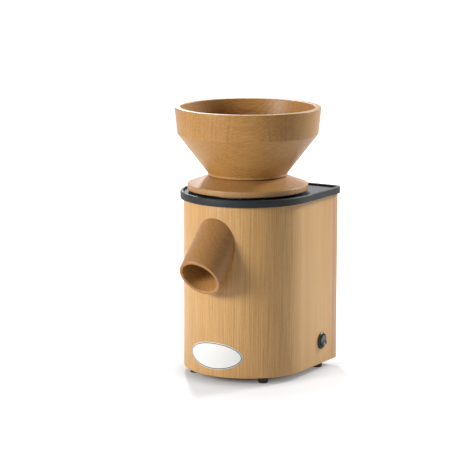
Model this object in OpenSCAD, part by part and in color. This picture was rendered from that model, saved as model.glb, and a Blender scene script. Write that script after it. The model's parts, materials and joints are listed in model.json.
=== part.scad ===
// Electric grain mill: wooden body with a round front, turned hopper, and a slanted flour spout.
// The origin is on the mill's axis at the floor. The spout points to -Y and the switch to +X.

/* [Housing] */
// Radius of the round front, which is half the width of the body
housing_r = 85.7; // [84:0.1:92]
// Distance from the mill's axis to the outside of the back panel
housing_back = 94.8; // [93:0.1:105]
// Height of the wooden body
housing_h = 229; // [226:0.5:245]
// Thickness of the bent front and side wall
housing_wall = 15; // [13:0.5:16]
// Thickness of the back panel
back_t = 13; // [11:0.5:14]
// Thickness of the base plate
base_t = 8; // [6:0.5:11]
// Width of the ledge that the base plate is screwed to
ledge_w = 9; // [8:0.5:10]

/* [Feet] */
// Height of a rubber foot
foot_h = 9; // [7:0.5:14]
// Diameter of a foot where it meets the body
foot_d = 15; // [12:0.5:16]
// Diameter of a foot on the table
foot_tip_d = 12.6; // [9:0.2:13]
// Distance of the two front feet in from the round front
foot_front_in = 14.2; // [12:0.1:22]
// Direction of the two front feet, in degrees in front of the body's sides
foot_front_angle = 41.6; // [35:0.2:55]
// Distance of the two back feet in from the sides
foot_side_in = 14.7; // [13:0.1:25]
// Distance of the two back feet in from the back
foot_back_in = 27.8; // [25:0.1:38]

/* [Top tray] */
// How far the tray stands out past the body
tray_over = 4.4; // [2:0.2:7]
// Thickness of the tray's floor
tray_t = 6.7; // [5.5:0.1:9]
// Width of the raised rim
rim_w = 4.6; // [3:0.1:6]
// Height of the rim above the tray's floor
rim_h = 3; // [1.5:0.1:4.5]
// Radius of the tray's two back corners
tray_corner = 9; // [7:0.5:16]

/* [Adjusting disc] */
// Radius of the turned disc under the hopper
disc_r = 80.6; // [74:0.2:82]
// Height of the disc's upright edge
disc_edge = 7.5; // [5:0.1:10]
// Height of the disc's sloping top
disc_cone = 11.3; // [8:0.1:14]
// Thickness of the plastic slide ring under the disc
glide_t = 1.2; // [0.8:0.1:1.6]
// Thickness of the threaded sleeve's flange
flange_t = 3.4; // [3:0.1:5]
// Outer radius of the threaded sleeve
sleeve_r = 36; // [34:0.2:37]
// Wall of the threaded sleeve
sleeve_wall = 5; // [4:0.2:5.4]
// Rise of the stone for one full turn of the hopper
thread_pitch = 4; // [2:0.25:4]

/* [Hopper] */
// Radius of the hopper's neck
neck_r = 51.2; // [44:0.2:56]
// Radius of the hopper where the cone ends
belly_r = 93.9; // [88:0.2:96]
// Outer radius of the hopper's rim
rim_r = 97.5; // [94:0.2:104]
// Height of the hopper's cone
cone_h = 55.6; // [48:0.2:65]
// Height of the hopper's upright band
band_h = 35.7; // [25:0.2:50]
// Wall of the hopper
bowl_wall = 8; // [6:0.5:10]
// Radius of the feed hole
throat_r = 17; // [14:0.5:18]
// Wall of the feed tube under the hopper
spigot_wall = 6.5; // [4:0.5:7]
// Slope of the hopper's floor, in degrees
funnel_angle = 30; // [25:1:35]
// Radius of the rounded edges of the turned wood
edge_r = 1.5; // [0.5:0.1:2.5]

/* [Spout] */
// Outer diameter of the spout
spout_d = 58.8; // [54:0.2:60]
// Bore of the spout
spout_bore = 49; // [46:0.2:50]
// Angle of the spout below the horizontal
spout_angle = 44.1; // [42:0.1:46]
// Distance from the front of the body to the middle of the mouth
mouth_reach = 34.6; // [30:0.2:40]
// Distance from the top of the body down to the middle of the mouth
mouth_drop = 91; // [89:0.2:94]
// Angle by which the mouth is cut back at the top
mouth_cut = 9.3; // [0:0.1:14]

/* [Millstones] */
// Room between the rim of the stones and the guide pins
stone_side_gap = 5.5; // [4:0.5:9]
// Thickness of each stone
stone_t = 14; // [13:0.5:15]
// Gap between the stones as the mill is set
stone_gap = 1.5; // [1.3:0.1:2]
// Radius of the upper stone's eye
eye_r = 15; // [13:0.5:16]
// Number of furrows in each stone
furrows = 12; // [8:1:16]
// Width of a furrow
furrow_w = 4; // [2:0.5:5]
// Depth of a furrow at its steep side
furrow_d = 1.4; // [0.8:0.1:2]

/* [Milling chamber] */
// Wall of the milling chamber
chamber_wall = 7; // [6:0.5:7.5]
// Thickness of the chamber's floor
floor_t = 5; // [4.5:0.5:7]
// Thickness of the chamber's cover
cover_t = 4; // [3:0.5:5]
// Height of the space for the springs above the stone carrier
spring_h = 11; // [10.5:0.5:12]
// Thickness of the stone carrier
carrier_t = 5.5; // [4:0.5:6.5]
// Thickness of the driving plate under the lower stone
driver_t = 5; // [4:0.5:6]
// Room under the driving plate
sweep_h = 3; // [2.5:0.25:5]
// Radius of the chamber's outlet
outlet_r = 17.5; // [15:0.5:18]
// Radius of the guide pins
pin_r = 3; // [2:0.25:3.5]

/* [Motor] */
// Distance of the motor's side in from the side of the milling chamber
motor_side_in = 10.5; // [9:0.5:15]
// Room between the motor's fan and the base plate
fan_room = 17; // [10:0.5:28]
// Thickness of the iron core, from its hole to the motor's side
core_wall = 24.5; // [23:0.5:27]
// Height of the upper end shield
shield_h = 32; // [30:0.5:34]
// Radius of the motor shaft
shaft_r = 6; // [5:0.25:7]
// Outer radius of a bearing
bearing_r = 16; // [14:0.5:18]
// Width of a bearing
bearing_w = 10; // [8:0.5:12]
// Radius of the cooling fan
fan_r = 46; // [38:0.5:47.5]
// Height of the fan's blades
fan_h = 10; // [6:0.5:12]
// Number of fan blades
fan_blades = 9; // [6:1:12]
// Radius of the capacitor
cap_r = 15; // [12:0.5:15.5]
// Length of the capacitor
cap_h = 70; // [50:1:80]

/* [Switch and inlet] */
// Diameter of the switch's bezel
bezel_d = 23; // [21:0.2:26]
// Diameter of the switch's barrel in the wall
barrel_d = 20; // [19:0.2:20.4]
// Height of the bezel's dome
bezel_h = 2.2; // [1.5:0.1:3]
// Radius of the round rocker
rocker_r = 8.2; // [7:0.1:8.4]
// Tilt of the rocker to each side of the middle, in degrees
rocker_tilt = 9; // [5:0.5:11]
// Distance of the switch behind the axis
switch_y = 52.9; // [46:0.2:58]
// Height of the switch above the bottom of the body
switch_up = 31.9; // [28:0.2:38]
// Width of the power inlet's flange
inlet_w = 50; // [48:0.5:54]
// Height of the power inlet's flange
inlet_h = 24; // [23:0.5:26]
// Height of the power inlet above the bottom of the body
inlet_up = 33; // [30:0.5:36]

/* [Name plate] */
// Width of the bare oval plate, seen from the front
plate_w = 79; // [60:1:84]
// Height of the bare oval plate
plate_h = 36.5; // [28:0.5:42]
// Height of the plate's middle above the bottom of the body
plate_up = 28.3; // [24:0.1:34]
// Thickness of the plate
plate_t = 0.8; // [0.6:0.1:1.5]

/* [Hidden] */

$fn = 96;
eps = 0.01;            // overlap that keeps cuts and unions clean
joint_gap = 0.1;       // clearance between pieces that are glued or screwed together
run_gap = 0.3;         // clearance between pieces that move on each other
journal_gap = 0.05;    // radial clearance of a shaft in its bearing
slip_gap = 0.05;       // radial clearance of a pin in its guide
screw_r = 2;
screw_head_r = 3.8;
chamber_screw_r = 1.75;
cap_head = 1.8;        // radius and height of a cap screw's head, in shank radii

// heights, from the table up
body_z = foot_h;
body_top = body_z + housing_h;
tray_floor = body_top + tray_t;
disc_z = tray_floor + glide_t + run_gap + flange_t;
disc_edge_z = disc_z + disc_edge;
neck_z = disc_edge_z + disc_cone;
belly_z = neck_z + cone_h;
rim_z = belly_z + band_h;

// plan of the body
inner_r = housing_r - housing_wall;
back_in = housing_back - back_t;
tray_r = housing_r + tray_over;
tray_back = housing_back + tray_over;

// heights of the milling chamber, from its cover down
cover_z = body_top - cover_t;
carrier_top = cover_z - spring_h;
carrier_z = carrier_top - carrier_t;
upper_stone_z = carrier_z - stone_t;
lower_stone_top = upper_stone_z - stone_gap;
lower_stone_z = lower_stone_top - stone_t;
driver_z = lower_stone_z - driver_t;
floor_z = driver_z - sweep_h;
chamber_z = floor_z - floor_t;

// radii of the milling chamber
chamber_side_gap = 2.7;
chamber_r = inner_r - chamber_side_gap;
chamber_in = chamber_r - chamber_wall;
pin_ring = chamber_in - 5.5;
chamber_screw_ring = chamber_in + chamber_wall / 2;
stone_r = pin_ring - pin_r - stone_side_gap;

// threaded sleeve and stone carrier
sleeve_in = sleeve_r - sleeve_wall;
hub_r = sleeve_in - run_gap;
hub_wall = 4;
rise_room = 0.75 * thread_pitch;     // travel from fine to coarse, three quarters of a turn
rise_up = 0.5 * thread_pitch;        // share of the travel that lies above the setting shown
sleeve_end = carrier_top + rise_up + cap_head * screw_r + 0.6;
hub_top = disc_z - 4.5 - rise_up;
sleeve_flange_r = 58;
retainer_w = 5;
retainer_t = 3;
retainer_z = body_top - 0.5 - retainer_t;
retainer_groove = 1;
cover_hole_r = sleeve_r + retainer_w + 1;
spigot_r = throat_r + spigot_wall;
spigot_z = disc_z - 3.5;

// stones: the eye flares into the gap, and the lower stone is dished round its nut
flare_r = 30;
flare_h = 6;
dish_r = 31;
dish_h = 5;
driver_hub_r = 13;
washer_r = 16;
washer_t = 2;
nut_h = 7;
washer_z = lower_stone_top - dish_h;
nut_z = washer_z + washer_t;
feeder_z = nut_z + nut_h;
feeder_h = 24;
feeder_r = 9;
shaft_top = feeder_z + 7;

// motor, hung from the chamber's floor
motor_r = chamber_r - motor_side_in;
core_bore = motor_r - core_wall;
core_top = chamber_z - shield_h;
shield_wall = 6.5;
shield_plate = 5;
bearing_lid = 1;
bearing_boss = 5;
motor_bolt_r = 2.4;
motor_bolt_ring = motor_r - 4;
bolt_bite = 4;
slot_in = core_bore - 1;
slot_out = core_bore + 13;
slots = 24;
winding_over = 13;
air_gap = 0.5;
fan_gap = cap_head * motor_bolt_r + 0.7;
fan_plate = 2;
fan_z = body_z + base_t + fan_room;
fan_top = fan_z + fan_plate + fan_h;
lower_shield_z = fan_top + fan_gap;
core_z = lower_shield_z + shield_h;
core_h = core_top - core_z;
shaft_end = fan_z - 3;

// spout axis
mouth_y = -(housing_r + mouth_reach);
mouth_z = body_top - mouth_drop;
spout_len = 110;
outlet_wall = 2.5;
outlet_start = 50;
outlet_len = 40;

// small parts
foot_front_x = (housing_r - foot_front_in) * cos(foot_front_angle);
foot_front_y = (housing_r - foot_front_in) * sin(foot_front_angle);
foot_back_x = housing_r - foot_side_in;
foot_back_y = housing_back - foot_back_in;
foot_places = [
    [foot_front_x, -foot_front_y], [-foot_front_x, -foot_front_y],
    [foot_back_x, foot_back_y], [-foot_back_x, foot_back_y]
];
foot_bore_d = 7.5;
foot_web = 2.5;
ledge_r = inner_r + ledge_w / 2;
base_screw_len = 13;
base_screw_front = 5;
base_screw_back = 42;
base_screw_places = [
    [0, -ledge_r],
    for (s = [-1, 1], y = [-base_screw_front, base_screw_back]) [s * ledge_r, y]
];
air_slots = 7;
air_slot_w = 5;
air_slot_len = 56;
air_slot_step = 11;
block_w = 18;
block_h = 22;
block_x = inner_r - joint_gap - block_w / 2;
block_y = back_in - joint_gap - block_w / 2;
sleeve_screw_ring = 50;
stone_screw_ring = stone_r - 4;
switch_z = body_z + switch_up;
rocker_pivot = housing_r + 0.6;
rocker_slot_r = rocker_r + run_gap + 0.1;
rocker_pin_r = 1;
barrel_depth = 24;
barrel_wall = 4;
tag_t = 0.8;
tag_w = 6;
tag_len = 16;
tag_bite = 7;
terminal_rows = [-5, 5];
wall_land = 4;
inlet_z = body_z + inlet_up;
inlet_flange = 3;
inlet_screw_in = 5;
inlet_screw_r = 1.5;
inlet_screw_head = 2.8;
inlet_screw_len = 9;
inlet_hole_w = inlet_w - 18;
inlet_hole_h = inlet_h - 3;
inlet_body_gap = 1.1;
inlet_depth = 24;
socket_w = 24.4;
socket_h = 16.6;
socket_depth = 16.5;
socket_cut = 5;
pin_w = 4;
pin_t = 2;
pin_len = 31;
pin_row = 7;
pin_rise = 2;
inlet_pin_places = [[-pin_row, pin_rise], [pin_row, pin_rise], [0, -pin_rise]];
vents = 7;
vent_w = 4;
vent_h = 30;
vent_step = 9;
vent_drop = 62;
plate_z = body_z + plate_up;

// ---------- shared shapes ----------

module front_half(r) {
    intersection() {
        circle(r);
        translate([-r, -r]) square([2 * r, r + eps]);
    }
}

// Plan of the body: a half circle in front, straight sides and a back with corners of radius c
module d_plan(r, back, c) {
    front_half(r);
    translate([-r, 0]) square([2 * r, back - c]);
    translate([-r + c, 0]) square([2 * (r - c), back]);
    for (s = [-1, 1]) translate([s * (r - c), back - c]) circle(c);
}

// Square-cornered plan of the body
module d_square(r, back) {
    front_half(r);
    translate([-r, 0]) square([2 * r, back]);
}

// Places children n times round the axis at radius r, the first one at angle a
module ring_of(n, r, a = 0) {
    for (i = [0:n - 1]) rotate([0, 0, a + i * 360 / n]) translate([r, 0, 0]) children();
}

// Points of a rectangle with round corners about the origin
function round_box(w, h, r) = [for (q = [0:3], a = [0:22.5:90])
    let (x = (q == 0 || q == 3 ? 1 : -1) * (w / 2 - r), y = (q < 2 ? 1 : -1) * (h / 2 - r))
        [x + r * cos(90 * q + a), y + r * sin(90 * q + a)]];

function xy(p) = [p[0], p[1]];
function unit(v) = v / norm(v);

// Profile with its corners rounded; a point's third number is the radius of its corner
function rounded(points, steps = 3) = [for (i = [0:len(points) - 1])
    let (n = len(points), b = xy(points[i]), r = len(points[i]) > 2 ? points[i][2] : 0,
        u = unit(xy(points[(i + n - 1) % n]) - b), v = unit(xy(points[(i + 1) % n]) - b),
        half = acos(u * v) / 2)
    each r == 0 ? [b] : let (
        centre = b + unit(u + v) * r / sin(half),
        from = b + u * r / tan(half) - centre, to = b + v * r / tan(half) - centre, turn = 180 - 2 * half)
        [for (k = [0:steps]) centre
            + (from * sin(turn * (1 - k / steps)) + to * sin(turn * k / steps)) / sin(turn)]];

module tube(ro, ri, h) {
    difference() {
        cylinder(r = ro, h = h);
        translate([0, 0, -eps]) cylinder(r = ri, h = h + 2 * eps);
    }
}

// Countersunk screw, head up, its top at the origin, with a cross recess
module countersunk_screw(r, head_r, len) {
    difference() {
        union() {
            translate([0, 0, -len]) cylinder(r = r, h = len, $fn = 32);
            translate([0, 0, -(head_r - r)]) cylinder(r1 = r, r2 = head_r, h = head_r - r, $fn = 32);
        }
        for (a = [0, 90]) rotate([0, 0, a])
            translate([-head_r * 0.6, -0.4, -1]) cube([head_r * 1.2, 0.8, 2]);
    }
}

// Hole for such a screw
module countersunk_hole(r, head_r, len) {
    translate([0, 0, -len]) cylinder(r = r + joint_gap, h = len + eps, $fn = 32);
    translate([0, 0, -(head_r - r)])
        cylinder(r1 = r + joint_gap, r2 = head_r + joint_gap, h = head_r - r + eps, $fn = 32);
}

// Cap screw standing on the origin, its shank going down, with a hexagon socket
module cap_screw(r, len) {
    head = cap_head * r;
    difference() {
        union() {
            translate([0, 0, -len]) cylinder(r = r, h = len + eps, $fn = 32);
            cylinder(r = head, h = head, $fn = 32);
        }
        translate([0, 0, head * 0.4]) cylinder(r = r * 0.9, h = head, $fn = 6);
    }
}

// Local frame of the spout: the origin is the middle of the mouth and +Z runs up into the body
module on_spout() {
    translate([0, mouth_y, mouth_z]) rotate([-(90 - spout_angle), 0, 0]) children();
}

module at_switch() {
    translate([housing_r, switch_y, switch_z]) rotate([0, 90, 0]) children();
}

module at_inlet() {
    translate([0, housing_back, inlet_z]) rotate([-90, 0, 0]) children();
}

// Round wire wound into an open coil standing on the origin
module coil(r, wire, h, turns) {
    sides = 6;
    steps = 12 * turns;
    rise = h - 2 * wire;
    function ring(i) = let (a = 360 * turns * i / steps, z = wire + rise * i / steps)
        [for (k = [0:sides - 1]) let (b = 360 * k / sides, q = r + wire * cos(b))
            [q * cos(a), q * sin(a), z + wire * sin(b)]];
    points = [for (i = [0:steps]) each ring(i)];
    sleeve = [for (i = [0:steps - 1], k = [0:sides - 1])
        let (n = (k + 1) % sides, p = i * sides)
            [p + k, p + n, p + sides + n, p + sides + k]];
    first = [for (k = [sides - 1:-1:0]) k];
    last = [for (k = [0:sides - 1]) steps * sides + k];
    polyhedron(points, concat([first], sleeve, [last]), convexity = 4);
}

// ---------- wooden body ----------

module housing_shell() {
    color("burlywood") difference() {
        translate([0, 0, body_z]) linear_extrude(housing_h) difference() {
            d_square(housing_r, back_in - joint_gap);
            d_square(inner_r, back_in + eps);
        }
        translate([0, 0, body_z - eps]) linear_extrude(base_t + joint_gap)
            d_square(inner_r + ledge_w, back_in);
        on_spout() cylinder(r = spout_d / 2 + joint_gap, h = spout_len);
        at_switch() {
            translate([0, 0, -housing_wall - 1]) cylinder(d = barrel_d + 2 * joint_gap, h = housing_wall + 2);
            translate([0, 0, -housing_wall - 1]) cylinder(d = barrel_d + 2 * barrel_wall, h = housing_wall + 1 - wall_land);
        }
        for (p = base_screw_places) translate([p[0], p[1], body_z + base_t])
            cylinder(r = screw_r + slip_gap, h = base_screw_len + 1, $fn = 32);
    }
}

module back_panel() {
    color("tan") difference() {
        translate([-housing_r, back_in, body_z]) cube([2 * housing_r, back_t, housing_h]);
        at_inlet() translate([-inlet_hole_w / 2, -inlet_hole_h / 2, -back_t - 1])
            cube([inlet_hole_w, inlet_hole_h, back_t + 2]);
        for (s = [-1, 1]) at_inlet() translate([s * (inlet_w / 2 - inlet_screw_in), 0, -inlet_screw_len])
            cylinder(r = inlet_screw_r + slip_gap, h = inlet_screw_len + 1, $fn = 32);
        for (i = [0:vents - 1]) translate([(i - (vents - 1) / 2) * vent_step, back_in - 1, body_top - vent_drop])
            vent_slot(vent_w, vent_h, back_t + 2);
    }
}

// Upright slot with round ends, cut along +Y
module vent_slot(w, h, depth) {
    translate([-w / 2, 0, w / 2]) cube([w, depth, h - w]);
    for (z = [w / 2, h - w / 2]) translate([0, 0, z]) rotate([-90, 0, 0]) cylinder(d = w, h = depth, $fn = 32);
}

module base_plate() {
    color("sienna") difference() {
        translate([0, 0, body_z]) linear_extrude(base_t)
            d_square(inner_r + ledge_w - joint_gap, back_in - joint_gap);
        for (i = [0:air_slots - 1]) translate([0, (i - air_slots / 2) * air_slot_step, body_z - 1]) {
            translate([-air_slot_len / 2, -air_slot_w / 2, 0]) cube([air_slot_len, air_slot_w, base_t + 2]);
            for (s = [-1, 1]) translate([s * air_slot_len / 2, 0, 0])
                cylinder(d = air_slot_w, h = base_t + 2, $fn = 32);
        }
        for (p = base_screw_places) translate([p[0], p[1], body_z]) mirror([0, 0, 1])
            countersunk_hole(screw_r, screw_head_r, base_t + 1);
        for (p = foot_places) translate([p[0], p[1], body_z - eps])
            cylinder(r = screw_r + slip_gap, h = base_t + 1, $fn = 32);
    }
}

module base_screws() {
    color("silver") for (p = base_screw_places) translate([p[0], p[1], body_z]) mirror([0, 0, 1])
        countersunk_screw(screw_r, screw_head_r, base_t + base_screw_len);
}

module feet() {
    color([0.1, 0.1, 0.1]) for (p = foot_places) translate([p[0], p[1], 0]) difference() {
        cylinder(d1 = foot_tip_d, d2 = foot_d, h = foot_h);
        translate([0, 0, -eps]) cylinder(d = foot_bore_d + 2 * joint_gap, h = foot_h - foot_web + eps);
        cylinder(r = screw_r + slip_gap, h = foot_h + eps, $fn = 32);
    }
}

module foot_screws() {
    color("silver") for (p = foot_places) translate([p[0], p[1], foot_h - foot_web]) mirror([0, 0, 1])
        cap_screw(screw_r, foot_web + base_t);
}

// ---------- tray on top ----------

module top_tray() {
    color([0.16, 0.17, 0.19]) difference() {
        translate([0, 0, body_top]) linear_extrude(tray_t + rim_h) d_plan(tray_r, tray_back, tray_corner);
        translate([0, 0, tray_floor]) linear_extrude(rim_h + 1)
            d_plan(tray_r - rim_w, tray_back - rim_w, tray_corner - rim_w);
        translate([0, 0, body_top - 1]) cylinder(r = sleeve_r + run_gap, h = tray_t + 2);
        for (s = [-1, 1]) translate([s * block_x, block_y, body_top - eps])
            cylinder(r = screw_r + slip_gap, h = tray_t - 1, $fn = 32);
        translate([0, 0, body_top - eps]) ring_of(4, chamber_screw_ring, 45)
            cylinder(r = chamber_screw_r + slip_gap, h = tray_t - 1, $fn = 32);
    }
}

// Glued into the two back corners; the tray is screwed down to them from inside
module corner_blocks() {
    color("peru") for (s = [-1, 1]) translate([s * block_x, block_y, body_top - block_h]) difference() {
        translate([-block_w / 2, -block_w / 2, 0]) cube([block_w, block_w, block_h]);
        translate([0, 0, -1]) cylinder(r = screw_r + joint_gap, h = block_h + 2, $fn = 32);
    }
}

module tray_screws() {
    color("silver") for (s = [-1, 1]) translate([s * block_x, block_y, body_top - block_h]) mirror([0, 0, 1])
        cap_screw(screw_r, block_h + tray_t - 2);
}

module glide_ring() {
    color("ivory") translate([0, 0, tray_floor]) tube(sleeve_flange_r - 1, sleeve_r + run_gap + 0.5, glide_t);
}

// ---------- spout and plate ----------

module flour_spout() {
    color("peru") difference() {
        on_spout() intersection() {
            translate([0, 0, -20]) tube(spout_d / 2, spout_bore / 2, spout_len + 20);
            rotate([-mouth_cut, 0, 0]) translate([-60, -60, 0]) cube([120, 120, 200]);
        }
        translate([0, 0, body_z]) cylinder(r = inner_r, h = housing_h + tray_t);
        translate([-60, 0, body_z]) cube([120, 120, housing_h]);
        translate([-60, -120, body_top - joint_gap]) cube([120, 240, spout_len]);
    }
}

// Bare oval plate that follows the round front
module name_plate() {
    points = 48;
    oval = [for (i = [0:points - 1]) let (a = 360 * i / points)
        [plate_w / 2 * cos(a), plate_h / 2 * sin(a)]];
    color("white") intersection() {
        translate([0, 0, plate_z - plate_h]) tube(housing_r + joint_gap + plate_t, housing_r + joint_gap, 2 * plate_h);
        translate([0, 0, plate_z]) rotate([90, 0, 0]) linear_extrude(housing_r + 10) polygon(oval);
    }
}

// ---------- milling chamber ----------

module milling_chamber() {
    color("lightgray") difference() {
        union() {
            translate([0, 0, chamber_z]) cylinder(r = chamber_r, h = cover_z - chamber_z);
            on_spout() translate([0, 0, outlet_start]) cylinder(r = outlet_r + outlet_wall, h = outlet_len);
        }
        translate([0, 0, floor_z]) cylinder(r = chamber_in, h = cover_z - floor_z + 1);
        on_spout() translate([0, 0, outlet_start - 1]) cylinder(r = outlet_r, h = outlet_len + 6);
        translate([0, 0, chamber_z - 1]) cylinder(r = bearing_r - 2 + joint_gap, h = floor_t + 2);
        translate([0, 0, core_top]) cylinder(r = motor_r + run_gap, h = shield_h);
        ring_of(4, motor_bolt_ring, 45) translate([0, 0, chamber_z - eps])
            cylinder(r = motor_bolt_r + slip_gap, h = bolt_bite, $fn = 32);
        ring_of(4, chamber_screw_ring, 45) translate([0, 0, chamber_z - 1])
            cylinder(r = chamber_screw_r + slip_gap, h = cover_z - chamber_z + 2, $fn = 32);
    }
}

module chamber_cover() {
    color("silver") translate([0, 0, cover_z]) difference() {
        cylinder(r = inner_r - run_gap, h = cover_t);
        translate([0, 0, -1]) cylinder(r = cover_hole_r, h = cover_t + 2);
        ring_of(3, pin_ring, 90) translate([0, 0, -1]) cylinder(r = pin_r + slip_gap, h = cover_t + 2);
        ring_of(4, chamber_screw_ring, 45) translate([0, 0, -1])
            cylinder(r = chamber_screw_r + slip_gap, h = cover_t + 2, $fn = 32);
    }
}

module chamber_screws() {
    len = cover_z - chamber_z + cover_t + tray_t - 2;
    color("silver") ring_of(4, chamber_screw_ring, 45) translate([0, 0, chamber_z])
        mirror([0, 0, 1]) cap_screw(chamber_screw_r, len);
}

// Keep the stone carrier from turning while the sleeve lifts it
module guide_pins() {
    color("silver") ring_of(3, pin_ring, 90) translate([0, 0, carrier_z - 5])
        cylinder(r = pin_r, h = body_top - carrier_z + 5);
}

module carrier_springs() {
    wire = 0.55;
    color("silver") ring_of(3, pin_ring, 90) translate([0, 0, carrier_top + joint_gap])
        coil(pin_r + 1.2, wire, spring_h - 2 * joint_gap, 5);
}

module shaft_seal() {
    color("white") translate([0, 0, chamber_z]) tube(bearing_r - 2, shaft_r + journal_gap, floor_t);
}

// ---------- motor ----------

// Cup of an end shield with its open side down, standing on the iron core
module end_shield() {
    seat = bearing_r + slip_gap;
    difference() {
        union() {
            tube(motor_r, motor_r - shield_wall, shield_h);
            translate([0, 0, shield_h - shield_plate]) cylinder(r = motor_r - 1, h = shield_plate);
            translate([0, 0, shield_h - bearing_w - bearing_lid - shield_plate])
                cylinder(r = bearing_r + bearing_boss, h = bearing_w + bearing_lid + shield_plate);
            for (a = [0:45:315]) rotate([0, 0, a]) translate([bearing_r, -1.5, shield_h - shield_plate - 6])
                cube([motor_r - shield_wall - bearing_r + 1, 3, 7]);
        }
        translate([0, 0, -1]) cylinder(r = seat, h = shield_h - shield_plate - bearing_lid + 1);
        translate([0, 0, -1]) cylinder(r = shaft_r + 3, h = shield_h + 2);
        ring_of(8, motor_r, 22.5) translate([-shield_wall - 2, -6, 10]) cube([shield_wall + 4, 12, 10]);
        ring_of(4, motor_bolt_ring, 45) translate([0, 0, -1])
            cylinder(r = motor_bolt_r + slip_gap, h = shield_h + 2, $fn = 32);
    }
}

module upper_end_shield() {
    color("gainsboro") translate([0, 0, core_top]) end_shield();
}

module lower_end_shield() {
    color("gainsboro") difference() {
        translate([0, 0, core_z]) mirror([0, 0, 1]) end_shield();
        ring_of(8, (bearing_r + bearing_boss + motor_r - shield_wall) / 2, 22.5)
            translate([0, 0, lower_shield_z - 1]) cylinder(r = 7, h = shield_plate + 3);
    }
}

// One winding slot in plan, on the +X side
module slot_plan() {
    translate([slot_in, -1.5]) square([5, 3]);
    translate([core_bore + 4 - joint_gap, -2.5]) square([slot_out - core_bore - 7 + 2 * joint_gap, 5]);
}

module stator_core() {
    color("slategray") translate([0, 0, core_z]) linear_extrude(core_h) difference() {
        circle(motor_r - 1);
        circle(core_bore);
        ring_of(slots, 0) slot_plan();
        ring_of(4, motor_bolt_ring, 45) circle(motor_bolt_r + slip_gap, $fn = 32);
    }
}

module stator_windings() {
    coil_r = (core_bore + 2 + slot_out) / 2;
    coil_w = slot_out - core_bore - 2;
    color("chocolate") {
        ring_of(slots, 0) translate([core_bore + 4, -2.4, core_z - 1]) cube([slot_out - core_bore - 7, 4.8, core_h + 2]);
        for (s = [0, 1]) translate([0, 0, core_z + s * core_h]) mirror([0, 0, 1 - s])
            rotate_extrude() translate([coil_r, joint_gap + winding_over / 2])
                polygon(round_box(coil_w, winding_over, 3));
    }
}

module ball_bearing() {
    color("silver") tube(bearing_r, shaft_r + journal_gap, bearing_w);
}

module upper_bearing() {
    translate([0, 0, chamber_z - shield_plate - bearing_lid - bearing_w]) ball_bearing();
}

module lower_bearing() {
    translate([0, 0, lower_shield_z + shield_plate + bearing_lid]) ball_bearing();
}

module motor_bolts() {
    color("silver") ring_of(4, motor_bolt_ring, 45) translate([0, 0, lower_shield_z]) mirror([0, 0, 1])
        cap_screw(motor_bolt_r, chamber_z - lower_shield_z + bolt_bite - 0.5);
}

cap_room = 3;
cap_x = inner_r - cap_r - cap_room;
cap_y = back_in - cap_r - cap_room;
cap_drop = 13;
tab_h = 9;
cap_z = chamber_z - cap_drop - tab_h - cap_h;
clamp_t = 2;
clamp_h = 14;
clamp_foot = 20;
block_ways = 3;
way_w = 10;
way_t = 14;
way_h = 22;
way_x = 28;
way_up = 20;

module run_capacitor() {
    color("white") translate([-cap_x, cap_y, cap_z]) {
        cylinder(r = cap_r, h = cap_h);
        for (x = terminal_rows) translate([x, 0, cap_h - eps]) blade(tag_w, tag_t, tab_h);
    }
}

module capacitor_clamp() {
    color("silver") translate([-cap_x, cap_y, cap_z + (cap_h - clamp_h) / 2]) difference() {
        union() {
            cylinder(r = cap_r + clamp_t, h = clamp_h);
            translate([-clamp_foot / 2, 0, 0]) cube([clamp_foot, back_in - cap_y - joint_gap, clamp_h]);
        }
        translate([0, 0, -1]) cylinder(r = cap_r + joint_gap, h = clamp_h + 2);
    }
}

module terminal_block() {
    color("ivory") translate([way_x, back_in - joint_gap - way_t, core_z + way_up]) difference() {
        cube([block_ways * way_w, way_t, way_h]);
        for (i = [0:block_ways - 1]) translate([(i + 0.5) * way_w, 0, 0]) {
            translate([0, way_t / 2, -1]) cylinder(d = way_t * 0.3, h = way_h + 2, $fn = 32);
            for (z = [way_h / 4, way_h * 3 / 4]) translate([0, -1, z]) rotate([-90, 0, 0])
                cylinder(d = way_t * 0.26, h = way_t * 0.4, $fn = 32);
        }
    }
}

// ---------- power inlet ----------

module socket_plan(w, h, cut) {
    polygon([
        [-w / 2, -h / 2], [w / 2, -h / 2], [w / 2, h / 2 - cut],
        [w / 2 - cut, h / 2], [-w / 2 + cut, h / 2], [-w / 2, h / 2 - cut]
    ]);
}

module power_inlet() {
    body_w = inlet_hole_w - 2 * inlet_body_gap;
    body_h = inlet_hole_h - 2 * joint_gap;
    color([0.12, 0.12, 0.12]) at_inlet() difference() {
        union() {
            linear_extrude(inlet_flange) {
                square([inlet_w - inlet_h, inlet_h], center = true);
                for (s = [-1, 1]) translate([s * (inlet_w - inlet_h) / 2, 0]) circle(d = inlet_h);
            }
            translate([-body_w / 2, -body_h / 2, -inlet_depth]) cube([body_w, body_h, inlet_depth + eps]);
        }
        translate([0, 0, inlet_flange - socket_depth]) linear_extrude(socket_depth + 1)
            rotate(180) socket_plan(socket_w, socket_h, socket_cut);
        for (s = [-1, 1]) translate([s * (inlet_w / 2 - inlet_screw_in), 0, inlet_flange])
            countersunk_hole(inlet_screw_r, inlet_screw_head, inlet_flange + 1);
        for (p = inlet_pin_places) translate([p[0], p[1], -inlet_depth - 1])
            blade(pin_w + 2 * slip_gap, pin_t + 2 * slip_gap, inlet_depth + inlet_flange - socket_depth + 2);
    }
}

// Flat contact standing on the origin
module blade(w, t, h) {
    translate([-w / 2, -t / 2, 0]) cube([w, t, h]);
}

module inlet_pins() {
    color("gold") at_inlet() for (p = inlet_pin_places)
        translate([p[0], p[1], -pin_len]) blade(pin_w, pin_t, pin_len);
}

module inlet_screws() {
    color("silver") at_inlet() for (s = [-1, 1])
        translate([s * (inlet_w / 2 - inlet_screw_in), 0, inlet_flange])
            countersunk_screw(inlet_screw_r, inlet_screw_head, inlet_flange + inlet_screw_len - 1);
}

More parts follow.
